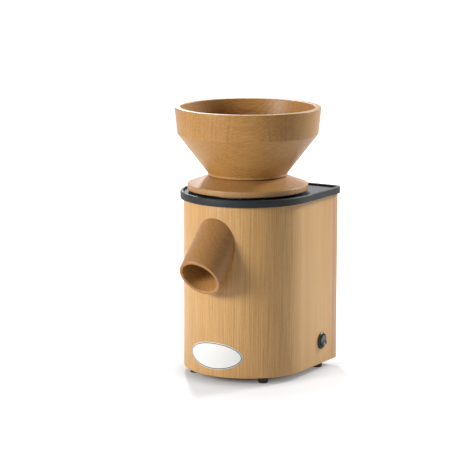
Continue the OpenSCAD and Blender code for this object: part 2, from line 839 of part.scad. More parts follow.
// ---------- switch ----------

module switch_barrel() {
    color([0.08, 0.08, 0.09]) at_switch() difference() {
        union() {
            translate([0, 0, joint_gap]) intersection() {
                cylinder(d = bezel_d, h = bezel_h);
                translate([0, 0, bezel_h - dome_r(bezel_h, bezel_d)]) sphere(dome_r(bezel_h, bezel_d));
            }
            translate([0, 0, -barrel_depth]) cylinder(d = barrel_d, h = barrel_depth + 1);
        }
        translate([0, 0, -rocker_slot_r - 1]) cylinder(r = rocker_slot_r, h = rocker_slot_r + 20);
        translate([0, 0, rocker_pivot - housing_r]) rotate([90, 0, 0])
            cylinder(r = rocker_pin_r + slip_gap, h = barrel_d - 1, center = true, $fn = 32);
        for (x = terminal_rows) translate([x, 0, -barrel_depth - 1])
            blade(tag_t + 2 * slip_gap, tag_w + 2 * slip_gap, tag_bite + 2);
    }
}

// Radius of a dome of height h that leaves an upright edge of a third of that height
function dome_r(h, d) = let (s = h * 2 / 3) (d * d / 4 + s * s) / (2 * s);

module switch_terminals() {
    color("gold") at_switch() for (x = terminal_rows)
        translate([x, 0, -barrel_depth + tag_bite + slip_gap - tag_len]) blade(tag_t, tag_w, tag_len);
}

// Round rocker with two faces that meet in a shallow valley; shown with its upper half pressed in
module switch_rocker() {
    face = 3;
    color([0.05, 0.05, 0.05]) translate([rocker_pivot, switch_y, switch_z]) rotate([0, 90 - rocker_tilt, 0]) {
        difference() {
            sphere(rocker_r);
            for (s = [0, 180]) rotate([0, 0, s]) translate([0, 0, face]) rotate([0, -rocker_tilt, 0])
                translate([-eps, -20, 0]) cube([40, 40, 20]);
            translate([-20, -20, -20 - 5]) cube([40, 40, 20]);
        }
        rotate([90, 0, 0]) cylinder(r = rocker_pin_r, h = 2 * rocker_slot_r + 1.2, center = true, $fn = 32);
    }
}

// ---------- rotor ----------

module motor_shaft() {
    color("silver") translate([0, 0, shaft_end]) cylinder(r = shaft_r, h = shaft_top - shaft_end);
}

module rotor_core() {
    ring_h = 6;
    color("dimgray") translate([0, 0, core_z]) difference() {
        union() {
            cylinder(r = core_bore - air_gap, h = core_h);
            translate([0, 0, -ring_h]) cylinder(r = core_bore - 4, h = core_h + 2 * ring_h);
        }
        translate([0, 0, -ring_h - 1]) cylinder(r = shaft_r + slip_gap, h = core_h + 2 * ring_h + 2);
        for (z = [-ring_h - 1, core_h + 2]) translate([0, 0, z]) cylinder(r = core_bore - 10, h = ring_h - 1);
    }
}

// Radial fan with backward-curved blades
module cooling_fan() {
    hub = shaft_r + 5;
    arc_r = fan_r * 0.7;
    blade_t = 1.6;
    color("dimgray") translate([0, 0, fan_z]) difference() {
        union() {
            cylinder(r = fan_r, h = fan_plate);
            cylinder(r = hub, h = fan_h + fan_plate);
            translate([0, 0, fan_plate - eps]) linear_extrude(fan_h + eps) intersection() {
                ring_of(fan_blades, 0) translate([fan_r * 0.45, arc_r]) difference() {
                    circle(arc_r + blade_t / 2);
                    circle(arc_r - blade_t / 2);
                    translate([-2 * arc_r, -0.2 * arc_r]) square(4 * arc_r);
                    translate([-2 * arc_r, -2 * arc_r]) square([2 * arc_r, 4 * arc_r]);
                }
                difference() {
                    circle(fan_r - 1);
                    circle(fan_r * 0.42);
                }
            }
        }
        translate([0, 0, -1]) cylinder(r = shaft_r + slip_gap, h = fan_h + fan_plate + 2);
    }
}

// Plate that carries and turns the lower stone; its four paddles push the flour to the outlet
module stone_driver() {
    paddle_z = floor_z + 0.6;
    color("lightsteelblue") difference() {
        union() {
            translate([0, 0, driver_z]) cylinder(r = stone_r - 4, h = driver_t);
            translate([0, 0, driver_z]) cylinder(r = driver_hub_r - joint_gap, h = washer_z - driver_z - joint_gap);
            ring_of(4, 0) translate([stone_r - 12, -2, paddle_z])
                cube([chamber_in - 1.5 - stone_r + 12, 4, driver_z + driver_t - 1 - paddle_z]);
        }
        translate([0, 0, driver_z - 1]) cylinder(r = shaft_r + slip_gap, h = washer_z - driver_z + 2);
    }
}

// Grooves of the stones' dressing, cut into a face at z = 0 that looks up
module furrow_cuts() {
    run_out = atan(furrow_d / furrow_w);
    for (i = [0:furrows - 1]) rotate([0, 0, i * 360 / furrows]) translate([0, flare_r * 0.45, -furrow_d])
        rotate([run_out, 0, 0]) translate([eye_r, 0, 0]) cube([stone_r, 2 * furrow_w, 4]);
}

module lower_stone() {
    color("gainsboro") translate([0, 0, lower_stone_z]) difference() {
        rotate_extrude() polygon([
            [driver_hub_r, 0], [stone_r - 1, 0], [stone_r, 1], [stone_r, stone_t],
            [dish_r, stone_t], [washer_r + 1, stone_t - dish_h], [driver_hub_r, stone_t - dish_h]
        ]);
        translate([0, 0, stone_t]) furrow_cuts();
    }
}

module upper_stone() {
    color("gainsboro") translate([0, 0, upper_stone_z]) difference() {
        rotate_extrude() polygon([
            [flare_r, 0], [stone_r, 0], [stone_r, stone_t - 1], [stone_r - 1, stone_t],
            [eye_r, stone_t], [eye_r, flare_h + 2]
        ]);
        rotate([180, 0, 0]) furrow_cuts();
        ring_of(3, stone_screw_ring, 30) translate([0, 0, stone_t - 7])
            cylinder(r = screw_r + slip_gap, h = 8, $fn = 32);
    }
}

module clamp_washer() {
    color("silver") translate([0, 0, washer_z]) tube(washer_r, shaft_r + slip_gap, washer_t);
}

module stone_nut() {
    color("silver") translate([0, 0, nut_z]) difference() {
        cylinder(r = shaft_r + 5, h = nut_h, $fn = 6);
        translate([0, 0, -1]) cylinder(r = shaft_r + slip_gap, h = nut_h + 2);
    }
}

// Short screw on the shaft's end that draws the grain down into the eye
module grain_feeder() {
    collar_h = 7.5;
    color("silver") translate([0, 0, feeder_z]) {
        difference() {
            cylinder(r = feeder_r, h = collar_h);
            translate([0, 0, -1]) cylinder(r = shaft_r + slip_gap, h = collar_h + 0.5);
        }
        translate([0, 0, collar_h - eps]) linear_extrude(feeder_h - collar_h, twist = -270, slices = 18)
            square([2 * feeder_r, 5], center = true);
    }
}

// ---------- pieces that turn with the hopper ----------

module adjusting_disc() {
    color("burlywood") difference() {
        translate([0, 0, disc_z]) rotate_extrude() polygon(rounded([
            [spigot_r + run_gap, 0], [disc_r, 0, edge_r], [disc_r, disc_edge, edge_r],
            [neck_r, disc_edge + disc_cone], [spigot_r + run_gap, disc_edge + disc_cone]
        ]));
        ring_of(4, sleeve_screw_ring, 45) translate([0, 0, disc_z - eps])
            cylinder(r = screw_r + slip_gap, h = disc_edge, $fn = 32);
    }
}

module threaded_sleeve() {
    color("dimgray") difference() {
        union() {
            translate([0, 0, disc_z - flange_t]) cylinder(r = sleeve_flange_r, h = flange_t);
            translate([0, 0, sleeve_end]) cylinder(r = sleeve_r, h = disc_z - sleeve_end);
        }
        translate([0, 0, sleeve_end - 1]) cylinder(r = sleeve_in, h = disc_z - sleeve_end + 2);
        translate([0, 0, retainer_z]) tube(sleeve_r + 1, sleeve_r - retainer_groove, retainer_t);
        ring_of(4, sleeve_screw_ring, 45) translate([0, 0, disc_z - flange_t]) mirror([0, 0, 1])
            countersunk_hole(screw_r, screw_head_r, flange_t + 1);
    }
}

module sleeve_screws() {
    color("silver") ring_of(4, sleeve_screw_ring, 45) translate([0, 0, disc_z - flange_t]) mirror([0, 0, 1])
        countersunk_screw(screw_r, screw_head_r, flange_t + disc_edge - 1);
}

module retaining_ring() {
    gap_w = 6;
    color("gray") translate([0, 0, retainer_z + slip_gap]) difference() {
        tube(sleeve_r + retainer_w, sleeve_r - retainer_groove + slip_gap, retainer_t - 2 * slip_gap);
        translate([0, -gap_w / 2, -1]) cube([sleeve_r + 20, gap_w, retainer_t + 2]);
    }
}

// ---------- stone carrier ----------

module stone_carrier() {
    color("lightgray") difference() {
        translate([0, 0, carrier_z]) rotate_extrude() polygon([
            [eye_r, 0], [chamber_in - 0.5, 0], [chamber_in - 0.5, carrier_t], [hub_r, carrier_t],
            [hub_r, hub_top - carrier_z], [hub_r - hub_wall, hub_top - carrier_z],
            [eye_r, carrier_t]
        ]);
        ring_of(3, pin_ring, 90) translate([0, 0, carrier_z - 1]) cylinder(r = pin_r + slip_gap, h = carrier_t + 2);
        ring_of(3, stone_screw_ring, 30) translate([0, 0, carrier_z - 1])
            cylinder(r = screw_r + joint_gap, h = carrier_t + 2, $fn = 32);
    }
}

module stone_screws() {
    color("silver") ring_of(3, stone_screw_ring, 30) translate([0, 0, carrier_top]) cap_screw(screw_r, carrier_t + 6);
}

// ---------- hopper ----------

module hopper_bowl() {
    side = (belly_r - neck_r) / cone_h;
    flat = bowl_wall / cos(atan(side));          // wall of the cone, measured level
    floor_up = 6;                                // height of the throat's upper edge above the neck
    // height above the neck at which the sloping floor meets the cone's inside
    meet = (neck_r - flat - throat_r + floor_up / tan(funnel_angle)) / (1 / tan(funnel_angle) - side);
    height = cone_h + band_h - run_gap;
    color("burlywood") translate([0, 0, neck_z + run_gap]) rotate_extrude() polygon(rounded([
        [throat_r, spigot_z - neck_z], [spigot_r, spigot_z - neck_z], [spigot_r, 0],
        [neck_r, 0, edge_r], [belly_r, cone_h], [rim_r, height, edge_r],
        [rim_r - bowl_wall, height, edge_r], [belly_r - bowl_wall, cone_h + 2],
        [neck_r - flat + side * meet, meet], [throat_r, floor_up]
    ]));
}

// ---------- assembly ----------

housing_shell();
back_panel();
base_plate();
base_screws();
feet();
foot_screws();
top_tray();
corner_blocks();
tray_screws();
flour_spout();
name_plate();
milling_chamber();
chamber_cover();
chamber_screws();
guide_pins();
carrier_springs();
glide_ring();
shaft_seal();
upper_end_shield();
lower_end_shield();
stator_core();
stator_windings();
upper_bearing();
lower_bearing();
motor_bolts();
run_capacitor();
capacitor_clamp();
terminal_block();
power_inlet();
inlet_pins();
inlet_screws();
switch_barrel();
switch_terminals();
motor_shaft();
rotor_core();
cooling_fan();
stone_driver();
lower_stone();
clamp_washer();
stone_nut();
grain_feeder();
adjusting_disc();
threaded_sleeve();
sleeve_screws();
retaining_ring();
stone_carrier();
upper_stone();
stone_screws();
hopper_bowl();
switch_rocker();
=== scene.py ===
import json
import math

import bpy
from mathutils import Euler, Matrix, Vector

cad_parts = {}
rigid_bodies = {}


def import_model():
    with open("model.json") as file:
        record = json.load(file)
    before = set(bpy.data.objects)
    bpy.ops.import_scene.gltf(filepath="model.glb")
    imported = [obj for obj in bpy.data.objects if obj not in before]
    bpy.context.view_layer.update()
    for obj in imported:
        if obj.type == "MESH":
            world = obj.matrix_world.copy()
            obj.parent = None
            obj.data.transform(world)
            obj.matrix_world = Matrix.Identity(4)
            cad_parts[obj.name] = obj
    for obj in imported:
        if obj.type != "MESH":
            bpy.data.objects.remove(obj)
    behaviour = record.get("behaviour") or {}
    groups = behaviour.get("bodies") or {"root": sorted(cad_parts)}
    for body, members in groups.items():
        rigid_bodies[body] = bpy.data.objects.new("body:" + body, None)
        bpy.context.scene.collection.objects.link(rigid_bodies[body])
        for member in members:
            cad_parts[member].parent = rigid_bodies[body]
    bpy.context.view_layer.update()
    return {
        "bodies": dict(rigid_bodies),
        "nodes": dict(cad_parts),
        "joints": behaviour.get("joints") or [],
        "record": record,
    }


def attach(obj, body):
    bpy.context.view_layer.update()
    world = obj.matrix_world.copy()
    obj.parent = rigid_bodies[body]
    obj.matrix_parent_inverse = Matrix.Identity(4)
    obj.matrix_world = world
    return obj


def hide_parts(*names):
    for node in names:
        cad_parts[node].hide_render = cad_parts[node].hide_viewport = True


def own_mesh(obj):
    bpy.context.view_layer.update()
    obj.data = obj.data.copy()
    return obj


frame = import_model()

mm = 0.001
rad = math.radians

# Main sizes of the mill in mm, as in the part's source
mill = dict(
    radius=85.7, back=94.8, wall=15.0, backThick=13.0, gap=0.1,
    bodyBottom=9.0, bodyTop=238.0, trayFloor=244.7, trayTop=247.7,
    discBottom=249.6, neck=268.4, seatGap=0.3,
)
smoothAngle = 32   # degrees; a sharper fold stays an edge


# Turns the marked corners of a profile into arcs; a point's third number is its corner's radius
def rounded(points, steps=5):
    out = []
    count = len(points)
    for i, point in enumerate(points):
        here = Vector(point[:2])
        if len(point) < 3:
            out.append(tuple(here))
            continue
        before = (Vector(points[i - 1][:2]) - here).normalized()
        after = (Vector(points[(i + 1) % count][:2]) - here).normalized()
        half = math.acos(max(-1.0, min(1.0, before.dot(after)))) / 2
        centre = here + (before + after).normalized() * point[2] / math.sin(half)
        start = here + before * point[2] / math.tan(half) - centre
        end = here + after * point[2] / math.tan(half) - centre
        turn = math.pi - 2 * half
        for k in range(steps + 1):
            part = k / steps
            out.append(tuple(centre + (start * math.sin(turn * (1 - part))
                                       + end * math.sin(turn * part)) / math.sin(turn)))
    return out


def smoothByAngle(piece, angle=smoothAngle):
    piece.data.shade_smooth()
    piece.data.set_sharp_from_angle(angle=rad(angle))


def meshPiece(name, points, faces, angle=smoothAngle):
    mesh = bpy.data.meshes.new(name)
    mesh.from_pydata([Vector(p) * mm for p in points], [], faces)
    mesh.validate()
    piece = bpy.data.objects.new(name, mesh)
    bpy.context.scene.collection.objects.link(piece)
    smoothByAngle(piece, angle)
    return piece


# Joins rings that have the same count of points. A capped loft ends in a face at its first and
# last ring, and any other closes on itself.
def loft(name, rings, angle=smoothAngle, capped=False):
    count, last = len(rings[0]), len(rings) - 1
    points = [p for ring in rings for p in ring]
    faces = []
    for i in range(last if capped else last + 1):
        low, high = i * count, (i + 1) % len(rings) * count
        for k in range(count):
            n = (k + 1) % count
            faces.append((low + k, low + n, high + n, high + k))
    if capped:
        faces.append(tuple(range(count - 1, -1, -1)))
        faces.append(tuple(range(last * count, (last + 1) * count)))
    return meshPiece(name, points, faces, angle)


def circle(radius, z, steps, place=(0, 0)):   # level ring of points
    turns = [2 * math.pi * k / steps for k in range(steps)]
    return [(place[0] + radius * math.cos(turn), place[1] + radius * math.sin(turn), z)
            for turn in turns]


def arc(x, y, radius, start, sweep, steps):
    turns = [start + sweep * k / steps for k in range(steps + 1)]
    return [(x + radius * math.cos(turn), y + radius * math.sin(turn)) for turn in turns]


def quarterRound(steps):   # how far in and how far along a soft edge of radius 1 is at each step
    turns = [math.pi / 2 * k / steps for k in range(steps + 1)]
    return [(1 - math.sin(turn), 1 - math.cos(turn)) for turn in turns]


# Turns a closed (radius, height) profile about Z, wound so that the faces look outwards
def lathe(name, profile, steps, place=(0, 0)):
    return loft(name, [circle(radius, z, steps, place) for radius, z in profile])


def roundRod(radius, low, high, steps=96):   # for cutting
    return loft("rod", [circle(radius, z, steps) for z in (low, high)], capped=True)


def slotRod(width, height, near, far, steps=10):   # upright slot with round ends, cut along Y
    outline = []
    for side in (1, -1):
        for k in range(steps + 1):
            turn = math.pi * k / steps
            outline.append((side * width / 2 * math.cos(turn),
                            side * ((height - width) / 2 + width / 2 * math.sin(turn))))
    return loft("slot", [[(x, y, z) for x, z in outline] for y in (far, near)], capped=True)


def cutAway(piece, cutters):   # and bakes the cuts into the mesh
    for cutter in cutters:
        cut = piece.modifiers.new("cut", "BOOLEAN")
        cut.operation = "DIFFERENCE"
        cut.solver = "EXACT"
        cut.object = cutter
    depsgraph = bpy.context.evaluated_depsgraph_get()
    shape = bpy.data.meshes.new_from_object(piece.evaluated_get(depsgraph))
    piece.modifiers.clear()
    piece.data = shape
    smoothByAngle(piece)
    for cutter in cutters:
        bpy.data.objects.remove(cutter)
    return piece


def joinPieces(name, parts):
    points, faces = [], []
    for part in parts:
        base = len(points)
        points += [tuple(v.co / mm) for v in part.data.vertices]
        faces += [tuple(base + i for i in f.vertices) for f in part.data.polygons]
        bpy.data.objects.remove(part)
    return meshPiece(name, points, faces)


def placeAt(piece, place):   # place is in mm and moves the points, so the origin stays the mill's
    move = place.copy()
    move.translation = place.translation * mm
    piece.data.transform(move)
    return piece


def setUp(piece, body, nodes, slot):
    piece.data.materials.clear()
    piece.data.materials.append(materials[slot])
    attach(piece, body)
    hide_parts(*nodes)
    return piece


# Materials. A socket is filled by name, and vectors come in millimetres of the mill's own frame.
class Tree:
    def __init__(self, tree):
        self.tree = tree
        self.nodes = tree.nodes
        self.column = 0

    def add(self, kind, **values):
        node = self.nodes.new(kind)
        node.location = (self.column * 190, -60 * (self.column % 5))
        self.column += 1
        for key, value in values.items():
            setattr(node, key, value)
        return node

    def feed(self, node, socket, value):
        target = node.inputs[socket]
        if isinstance(value, bpy.types.NodeSocket):
            self.tree.links.new(value, target)
        else:
            target.default_value = value

    def math(self, operation, *values, clamp=False):
        node = self.add("ShaderNodeMath", operation=operation, use_clamp=clamp)
        for i, value in enumerate(values):
            self.feed(node, i, value)
        return node.outputs[0]

    def times(self, first, second, clamp=False):
        return self.math("MULTIPLY", first, second, clamp=clamp)

    def plus(self, first, second, clamp=False):
        return self.math("ADD", first, second, clamp=clamp)

    def minus(self, first, second):
        return self.math("SUBTRACT", first, second)

    def over(self, first, second):
        return self.math("DIVIDE", first, second)

    def square(self, value):
        return self.math("POWER", value, 2.0)

    def size(self, value):
        return self.math("ABSOLUTE", value)

    def vector(self, operation, *values):
        node = self.add("ShaderNodeVectorMath", operation=operation)
        for i, value in enumerate(values):
            self.feed(node, i, value)
        return node.outputs[0]

    def dot(self, first, second):
        return self.vector("DOT_PRODUCT", first, second).node.outputs["Value"]

    def length(self, vector):
        return self.vector("LENGTH", vector).node.outputs["Value"]

    def stretch(self, vector, scale):
        return self.vector("MULTIPLY", vector, scale)

    def noise(self, vector, scale, detail=2.0, roughness=0.5):
        node = self.add("ShaderNodeTexNoise")
        self.feed(node, "Vector", vector)
        for socket, value in (("Scale", scale), ("Detail", detail), ("Roughness", roughness)):
            self.feed(node, socket, value)
        return node.outputs[0]

    def span(self, value, low, high, toLow=0.0, toHigh=1.0, smooth=False):
        node = self.add("ShaderNodeMapRange",
                        interpolation_type="SMOOTHSTEP" if smooth else "LINEAR")
        for i, v in enumerate((value, low, high, toLow, toHigh)):
            self.feed(node, i, v)
        return node.outputs[0]

    def mix(self, share, first, second):
        node = self.add("ShaderNodeMix", data_type="RGBA")
        self.feed(node, 0, share)
        self.feed(node, 6, first)
        self.feed(node, 7, second)
        return node.outputs[2]

    def ramp(self, value, stops):
        node = self.add("ShaderNodeValToRGB")
        self.feed(node, 0, value)
        ramp = node.color_ramp
        while len(ramp.elements) < len(stops):
            ramp.elements.new(0.5)
        for element, (place, level) in zip(ramp.elements, stops):
            element.position = place
            element.color = (level, level, level, 1)
        return node.outputs[0]

    def split(self, vector):
        node = self.add("ShaderNodeSeparateXYZ")
        self.feed(node, 0, vector)
        return node.outputs

    def merge(self, x, y, z):
        node = self.add("ShaderNodeCombineXYZ")
        for i, value in enumerate((x, y, z)):
            self.feed(node, i, value)
        return node.outputs[0]

    def group(self, group, **values):
        node = self.add("ShaderNodeGroup", node_tree=group)
        for key, value in values.items():
            self.feed(node, key, value)
        return node.outputs


def newGroup(name, inputs, outputs):
    tree = bpy.data.node_groups.new(name, "ShaderNodeTree")
    for socket, kind, value in inputs:
        made = tree.interface.new_socket(socket, in_out="INPUT", socket_type="NodeSocket" + kind)
        if value is not None:
            made.default_value = value
    for socket, kind in outputs:
        tree.interface.new_socket(socket, in_out="OUTPUT", socket_type="NodeSocket" + kind)
    work = Tree(tree)
    return work, work.add("NodeGroupInput").outputs, work.add("NodeGroupOutput")


def hexColor(code):   # sRGB to the linear colour that the nodes take
    parts = [int(code[i:i + 2], 16) / 255 for i in (0, 2, 4)]
    return tuple(c / 12.92 if c <= 0.04045 else ((c + 0.055) / 1.055) ** 2.4 for c in parts) + (1,)


# Mask of the rounded edges, where a paler colour is mixed in: rubbed wear, and on the wood a painted
# highlight where the edges catch the light
def makeEdgeWearAndHighlight():
    tree, given, out = newGroup(
        "edgeWearAndHighlight", [("Radius", "Float", 0.0008), ("Strength", "Float", 1.0)], [("Wear And Highlight", "Float")])
    bevel = tree.add("ShaderNodeBevel", samples=4)
    tree.feed(bevel, "Radius", given["Radius"])
    flat = tree.add("ShaderNodeNewGeometry")
    bend = tree.minus(1.0, tree.dot(bevel.outputs[0], flat.outputs["Normal"]))
    tree.feed(out, "Wear And Highlight", tree.times(tree.span(bend, 0.004, 0.12), given["Strength"], clamp=True))
    return tree.tree


# Cells per mm along the grain, across the rings and in depth
woodScale = dict(
    drift=(0.006, 0.025, 0.025), ripple=(0.040, 0.30, 0.30), patch=(0.012, 0.05, 0.05),
    fibre=(0.016, 0.75, 0.75), dash=(0.28, 1.7, 1.7), tone=(0.003, 0.030, 0.030),
)
# How far the rings wander, and how much each part of the figure darkens, sinks or dulls the wood
woodShare = dict(
    drift=4.0, ripple=0.35, uneven=2.4, tone=0.7, thread=0.9, lineDark=0.8, threadDark=0.28,
    fleckDark=0.45, threadDeep=-0.6, fleckDeep=-0.8, lineDull=0.5,
)
ringProfile = [(0.0, 0.0), (0.35, 0.10), (0.75, 0.55), (0.92, 1.0), (1.0, 0.0)]   # one year's growth


# Close-grained light hardwood. In its vector X runs along the grain and Y across the year rings.
def makeWoodFigure():
    tree, given, out = newGroup("woodFigure", [
        ("Vector", "Vector", None), ("Pale", "Color", hexColor("E2BD86")),
        ("Warm", "Color", hexColor("CE9C5E")), ("Dark", "Color", hexColor("9A6A3C")),
        ("Ring Step", "Float", 4.0), ("Ring Depth", "Float", 0.5), ("Wave", "Float", 3.0),
        ("Fibre", "Float", 0.5), ("Fleck", "Float", 0.5)],
        [("Color", "Color"), ("Height", "Float"), ("Dull", "Float")])
    share = woodShare

    def cloud(part, detail=2.0, roughness=0.5):
        return tree.noise(tree.stretch(given["Vector"], woodScale[part]), 1.0, detail, roughness)

    bend = tree.plus(tree.times(tree.minus(cloud("drift"), 0.5), share["drift"]),
                     tree.times(tree.minus(cloud("ripple"), 0.5), share["ripple"]))
    across = tree.plus(tree.split(given["Vector"])[1], tree.times(bend, given["Wave"]))
    count = tree.over(across, given["Ring Step"])
    uneven = tree.noise(tree.merge(count, 0.0, 0.0), 0.45, 1.0)   # broad and narrow years
    count = tree.plus(count, tree.times(uneven, share["uneven"]))
    strong = tree.add("ShaderNodeTexWhiteNoise", noise_dimensions="1D")   # each ring has its own depth
    tree.feed(strong, "W", tree.math("FLOOR", count))
    line = tree.ramp(tree.math("FRACT", count), ringProfile)
    line = tree.times(line, tree.span(strong.outputs["Value"], 0.0, 1.0, 0.25, 1.0))
    patchy = tree.span(cloud("patch"), 0.35, 0.65, 0.45, 1.0)
    line = tree.times(tree.times(line, patchy), given["Ring Depth"])
    thread = tree.times(tree.span(cloud("fibre", 4.0, 0.62), 0.40, 0.66), given["Fibre"])
    fleck = tree.times(tree.span(cloud("dash", 1.0), 0.60, 0.72), given["Fleck"])
    tone = tree.span(cloud("tone", 3.0), 0.3, 0.7)
    color = tree.mix(tree.times(tone, share["tone"]), given["Pale"], given["Warm"])
    color = tree.mix(tree.times(thread, share["thread"]), color, given["Warm"])
    dark = tree.plus(tree.times(line, share["lineDark"]), tree.times(thread, share["threadDark"]))
    dark = tree.plus(dark, tree.times(fleck, share["fleckDark"]), clamp=True)
    tree.feed(out, "Color", tree.mix(dark, color, given["Dark"]))
    tree.feed(out, "Height", tree.plus(tree.times(thread, share["threadDeep"]),
                                       tree.times(fleck, share["fleckDeep"])))
    tree.feed(out, "Dull", tree.plus(tree.times(line, share["lineDull"]), fleck, clamp=True))
    return tree.tree


# Even grain of a moulded, cast or sintered surface, with pale and dark specks
def makeSpeckle():
    tree, given, out = newGroup("speckle", [
        ("Vector", "Vector", None), ("Size", "Float", 1.0), ("Base", "Color", hexColor("808080")),
        ("Light", "Color", hexColor("B0B0B0")), ("Deep", "Color", hexColor("404040")),
        ("Amount", "Float", 0.5)],
        [("Color", "Color"), ("Height", "Float"), ("Mask", "Float")])
    place = tree.vector("SCALE", given["Vector"])
    tree.feed(place.node, "Scale", tree.over(1.0, given["Size"]))
    grain = tree.noise(place, 1.0, 4.0, 0.65)
    spots = tree.noise(place, 2.7)
    broad = tree.noise(place, 0.08)
    pale = tree.times(tree.span(grain, 0.48, 0.75), given["Amount"])
    dark = tree.times(tree.span(spots, 0.55, 0.75), given["Amount"])
    color = tree.mix(dark, tree.mix(pale, given["Base"], given["Light"]), given["Deep"])
    color = tree.mix(tree.span(broad, 0.25, 0.75, 0.0, 0.25), color, given["Light"])
    tree.feed(out, "Color", color)
    tree.feed(out, "Height", grain)
    tree.feed(out, "Mask", tree.span(grain, 0.35, 0.7))
    return tree.tree


# Fine scratches and a brushed or turned sheen for bare metal
def makeMetalFinish():
    tree, given, out = newGroup("metalFinish", [
        ("Vector", "Vector", None), ("Stretch", "Vector", (1.0, 1.0, 1.0)),
        ("Base", "Color", hexColor("B8B8B8")), ("Shade", "Color", hexColor("8A8A8A"))],
        [("Color", "Color"), ("Height", "Float"), ("Gloss", "Float")])
    fine = tree.noise(tree.stretch(given["Vector"], given["Stretch"]), 2.0, 4.0, 0.7)
    cloud = tree.times(tree.noise(given["Vector"], 0.06, 3.0), 0.4)
    shade = tree.plus(tree.times(fine, 0.5), cloud)
    tree.feed(out, "Color", tree.mix(shade, given["Base"], given["Shade"]))
    tree.feed(out, "Height", fine)
    tree.feed(out, "Gloss", tree.plus(tree.times(fine, 0.6), cloud))
    return tree.tree


edgeWearAndHighlight = makeEdgeWearAndHighlight()
woodFigure = makeWoodFigure()
speckle = makeSpeckle()
metalFinish = makeMetalFinish()


def newMaterial(name, **fixed):
    material = bpy.data.materials.new(name)
    material.use_nodes = True
    tree = Tree(material.node_tree)
    shader = next(n for n in tree.nodes if n.type == "BSDF_PRINCIPLED")
    for socket, value in fixed.items():
        shader.inputs[socket.replace("_", " ")].default_value = value
    where = tree.vector("SCALE", tree.add("ShaderNodeTexCoord").outputs["Object"])
    where.node.inputs["Scale"].default_value = 1 / mm
    return material, tree, shader, where


def addBump(tree, shader, height, distance):   # distance in mm
    bump = tree.add("ShaderNodeBump")
    bump.inputs["Distance"].default_value = distance * mm
    bump.inputs["Strength"].default_value = 1.0
    tree.feed(bump, "Height", height)
    tree.feed(shader, "Normal", bump.outputs[0])


# The grain's own frame: turned so that X lies along the grain
def grainFrame(tree, where, turn, shift):
    mapping = tree.add("ShaderNodeMapping", vector_type="POINT")
    mapping.inputs["Rotation"].default_value = tuple(rad(a) for a in turn)
    mapping.inputs["Location"].default_value = shift
    tree.feed(mapping, "Vector", where)
    return mapping.outputs[0]


# The bent front is unrolled: height along the grain, arc length across it, depth last
def unrolled(tree, where):
    x, y, z = tree.split(where)[:3]
    front = tree.math("MINIMUM", y, 0.0)
    side = tree.math("MAXIMUM", y, 0.0)
    turn = tree.math("ARCTAN2", x, tree.times(front, -1.0))
    across = tree.plus(tree.times(turn, mill["radius"]), tree.times(tree.math("SIGN", x), side))
    depth = tree.math("SQRT", tree.plus(tree.times(x, x), tree.times(front, front)))
    return tree.merge(z, across, depth)


# The figure fades where the bent wall runs out flat
def calmer(tree, frame, calm, figure):
    across = tree.size(tree.split(frame)[1])
    share = tree.span(across, calm["start"], calm["end"], 1.0, calm["left"], smooth=True)
    return {key: tree.times(share, figure[key]) for key in ("Ring Depth", "Fibre", "Fleck")}


# A look without a turn has its grain unrolled from the bent body
def woodMaterial(name, look):
    material, tree, shader, where = newMaterial(name, Specular_IOR_Level=look["specular"])
    if "turn" in look:
        frame = grainFrame(tree, where, look["turn"], look.get("shift", (0, 0, 0)))
    else:
        frame = unrolled(tree, where)
    values = dict(look["figure"])
    if "calm" in look:
        values.update(calmer(tree, frame, look["calm"], values))
    figure = tree.group(woodFigure, Vector=frame, **values)
    # On the wood the paler edge colour is a painted highlight where the rounded edges catch the light,
    # with some rubbed wear
    wearAndHighlight = tree.group(edgeWearAndHighlight, Radius=look["edge"] * mm, Strength=look["edgeShare"])["Wear And Highlight"]
    tree.feed(shader, "Base Color", tree.mix(wearAndHighlight, figure["Color"], look["edgeColor"]))
    tree.feed(shader, "Roughness", tree.span(figure["Dull"], 0.0, 1.0, *look["gloss"]))
    addBump(tree, shader, figure["Height"], look["bump"])
    return material


# Each wood look's edge colour, paler than its wood, is a painted highlight on the rounded edges
bodyWoodLook = dict(
    specular=0.4,
    figure={"Pale": hexColor("D1A76D"), "Warm": hexColor("BF9258"), "Dark": hexColor("8E582A"),
            "Ring Step": 3.0, "Ring Depth": 0.50, "Wave": 0.7, "Fibre": 0.75, "Fleck": 0.6},
    calm=dict(start=105.0, end=140.0, left=0.35),
    edge=0.9, edgeShare=0.35, edgeColor=hexColor("D8BA8A"), gloss=(0.42, 0.54), bump=0.05,
)
backWoodLook = dict(
    specular=0.4, turn=(0, 90, 0),
    figure={"Pale": hexColor("C89F76"), "Warm": hexColor("B88C65"), "Dark": hexColor("8E6745"),
            "Ring Step": 5.0, "Ring Depth": 0.25, "Wave": 2.5, "Fibre": 0.4, "Fleck": 0.4},
    edge=0.9, edgeShare=0.3, edgeColor=hexColor("CBAF8F"), gloss=(0.42, 0.54), bump=0.05,
)
hopperWoodLook = dict(
    specular=0.3, turn=(-11, 3, -31.7),
    figure={"Pale": hexColor("BA8E50"), "Warm": hexColor("AB783F"), "Dark": hexColor("6F4920"),
            "Ring Step": 2.7, "Ring Depth": 0.62, "Wave": 0.5, "Fibre": 0.9, "Fleck": 0.8},
    edge=1.6, edgeShare=0.4, edgeColor=hexColor("CCA87C"), gloss=(0.4, 0.52), bump=0.05,
)
discWoodLook = dict(
    specular=0.5, turn=(0, 0, -60), shift=(400, 90, 0),
    figure={"Pale": hexColor("B88B56"), "Warm": hexColor("AA7D46"), "Dark": hexColor("744F2A"),
            "Ring Step": 4.0, "Ring Depth": 0.35, "Wave": 1.5, "Fibre": 0.8, "Fleck": 0.7},
    edge=1.2, edgeShare=0.3, edgeColor=hexColor("D0AC81"), gloss=(0.38, 0.5), bump=0.04,
)
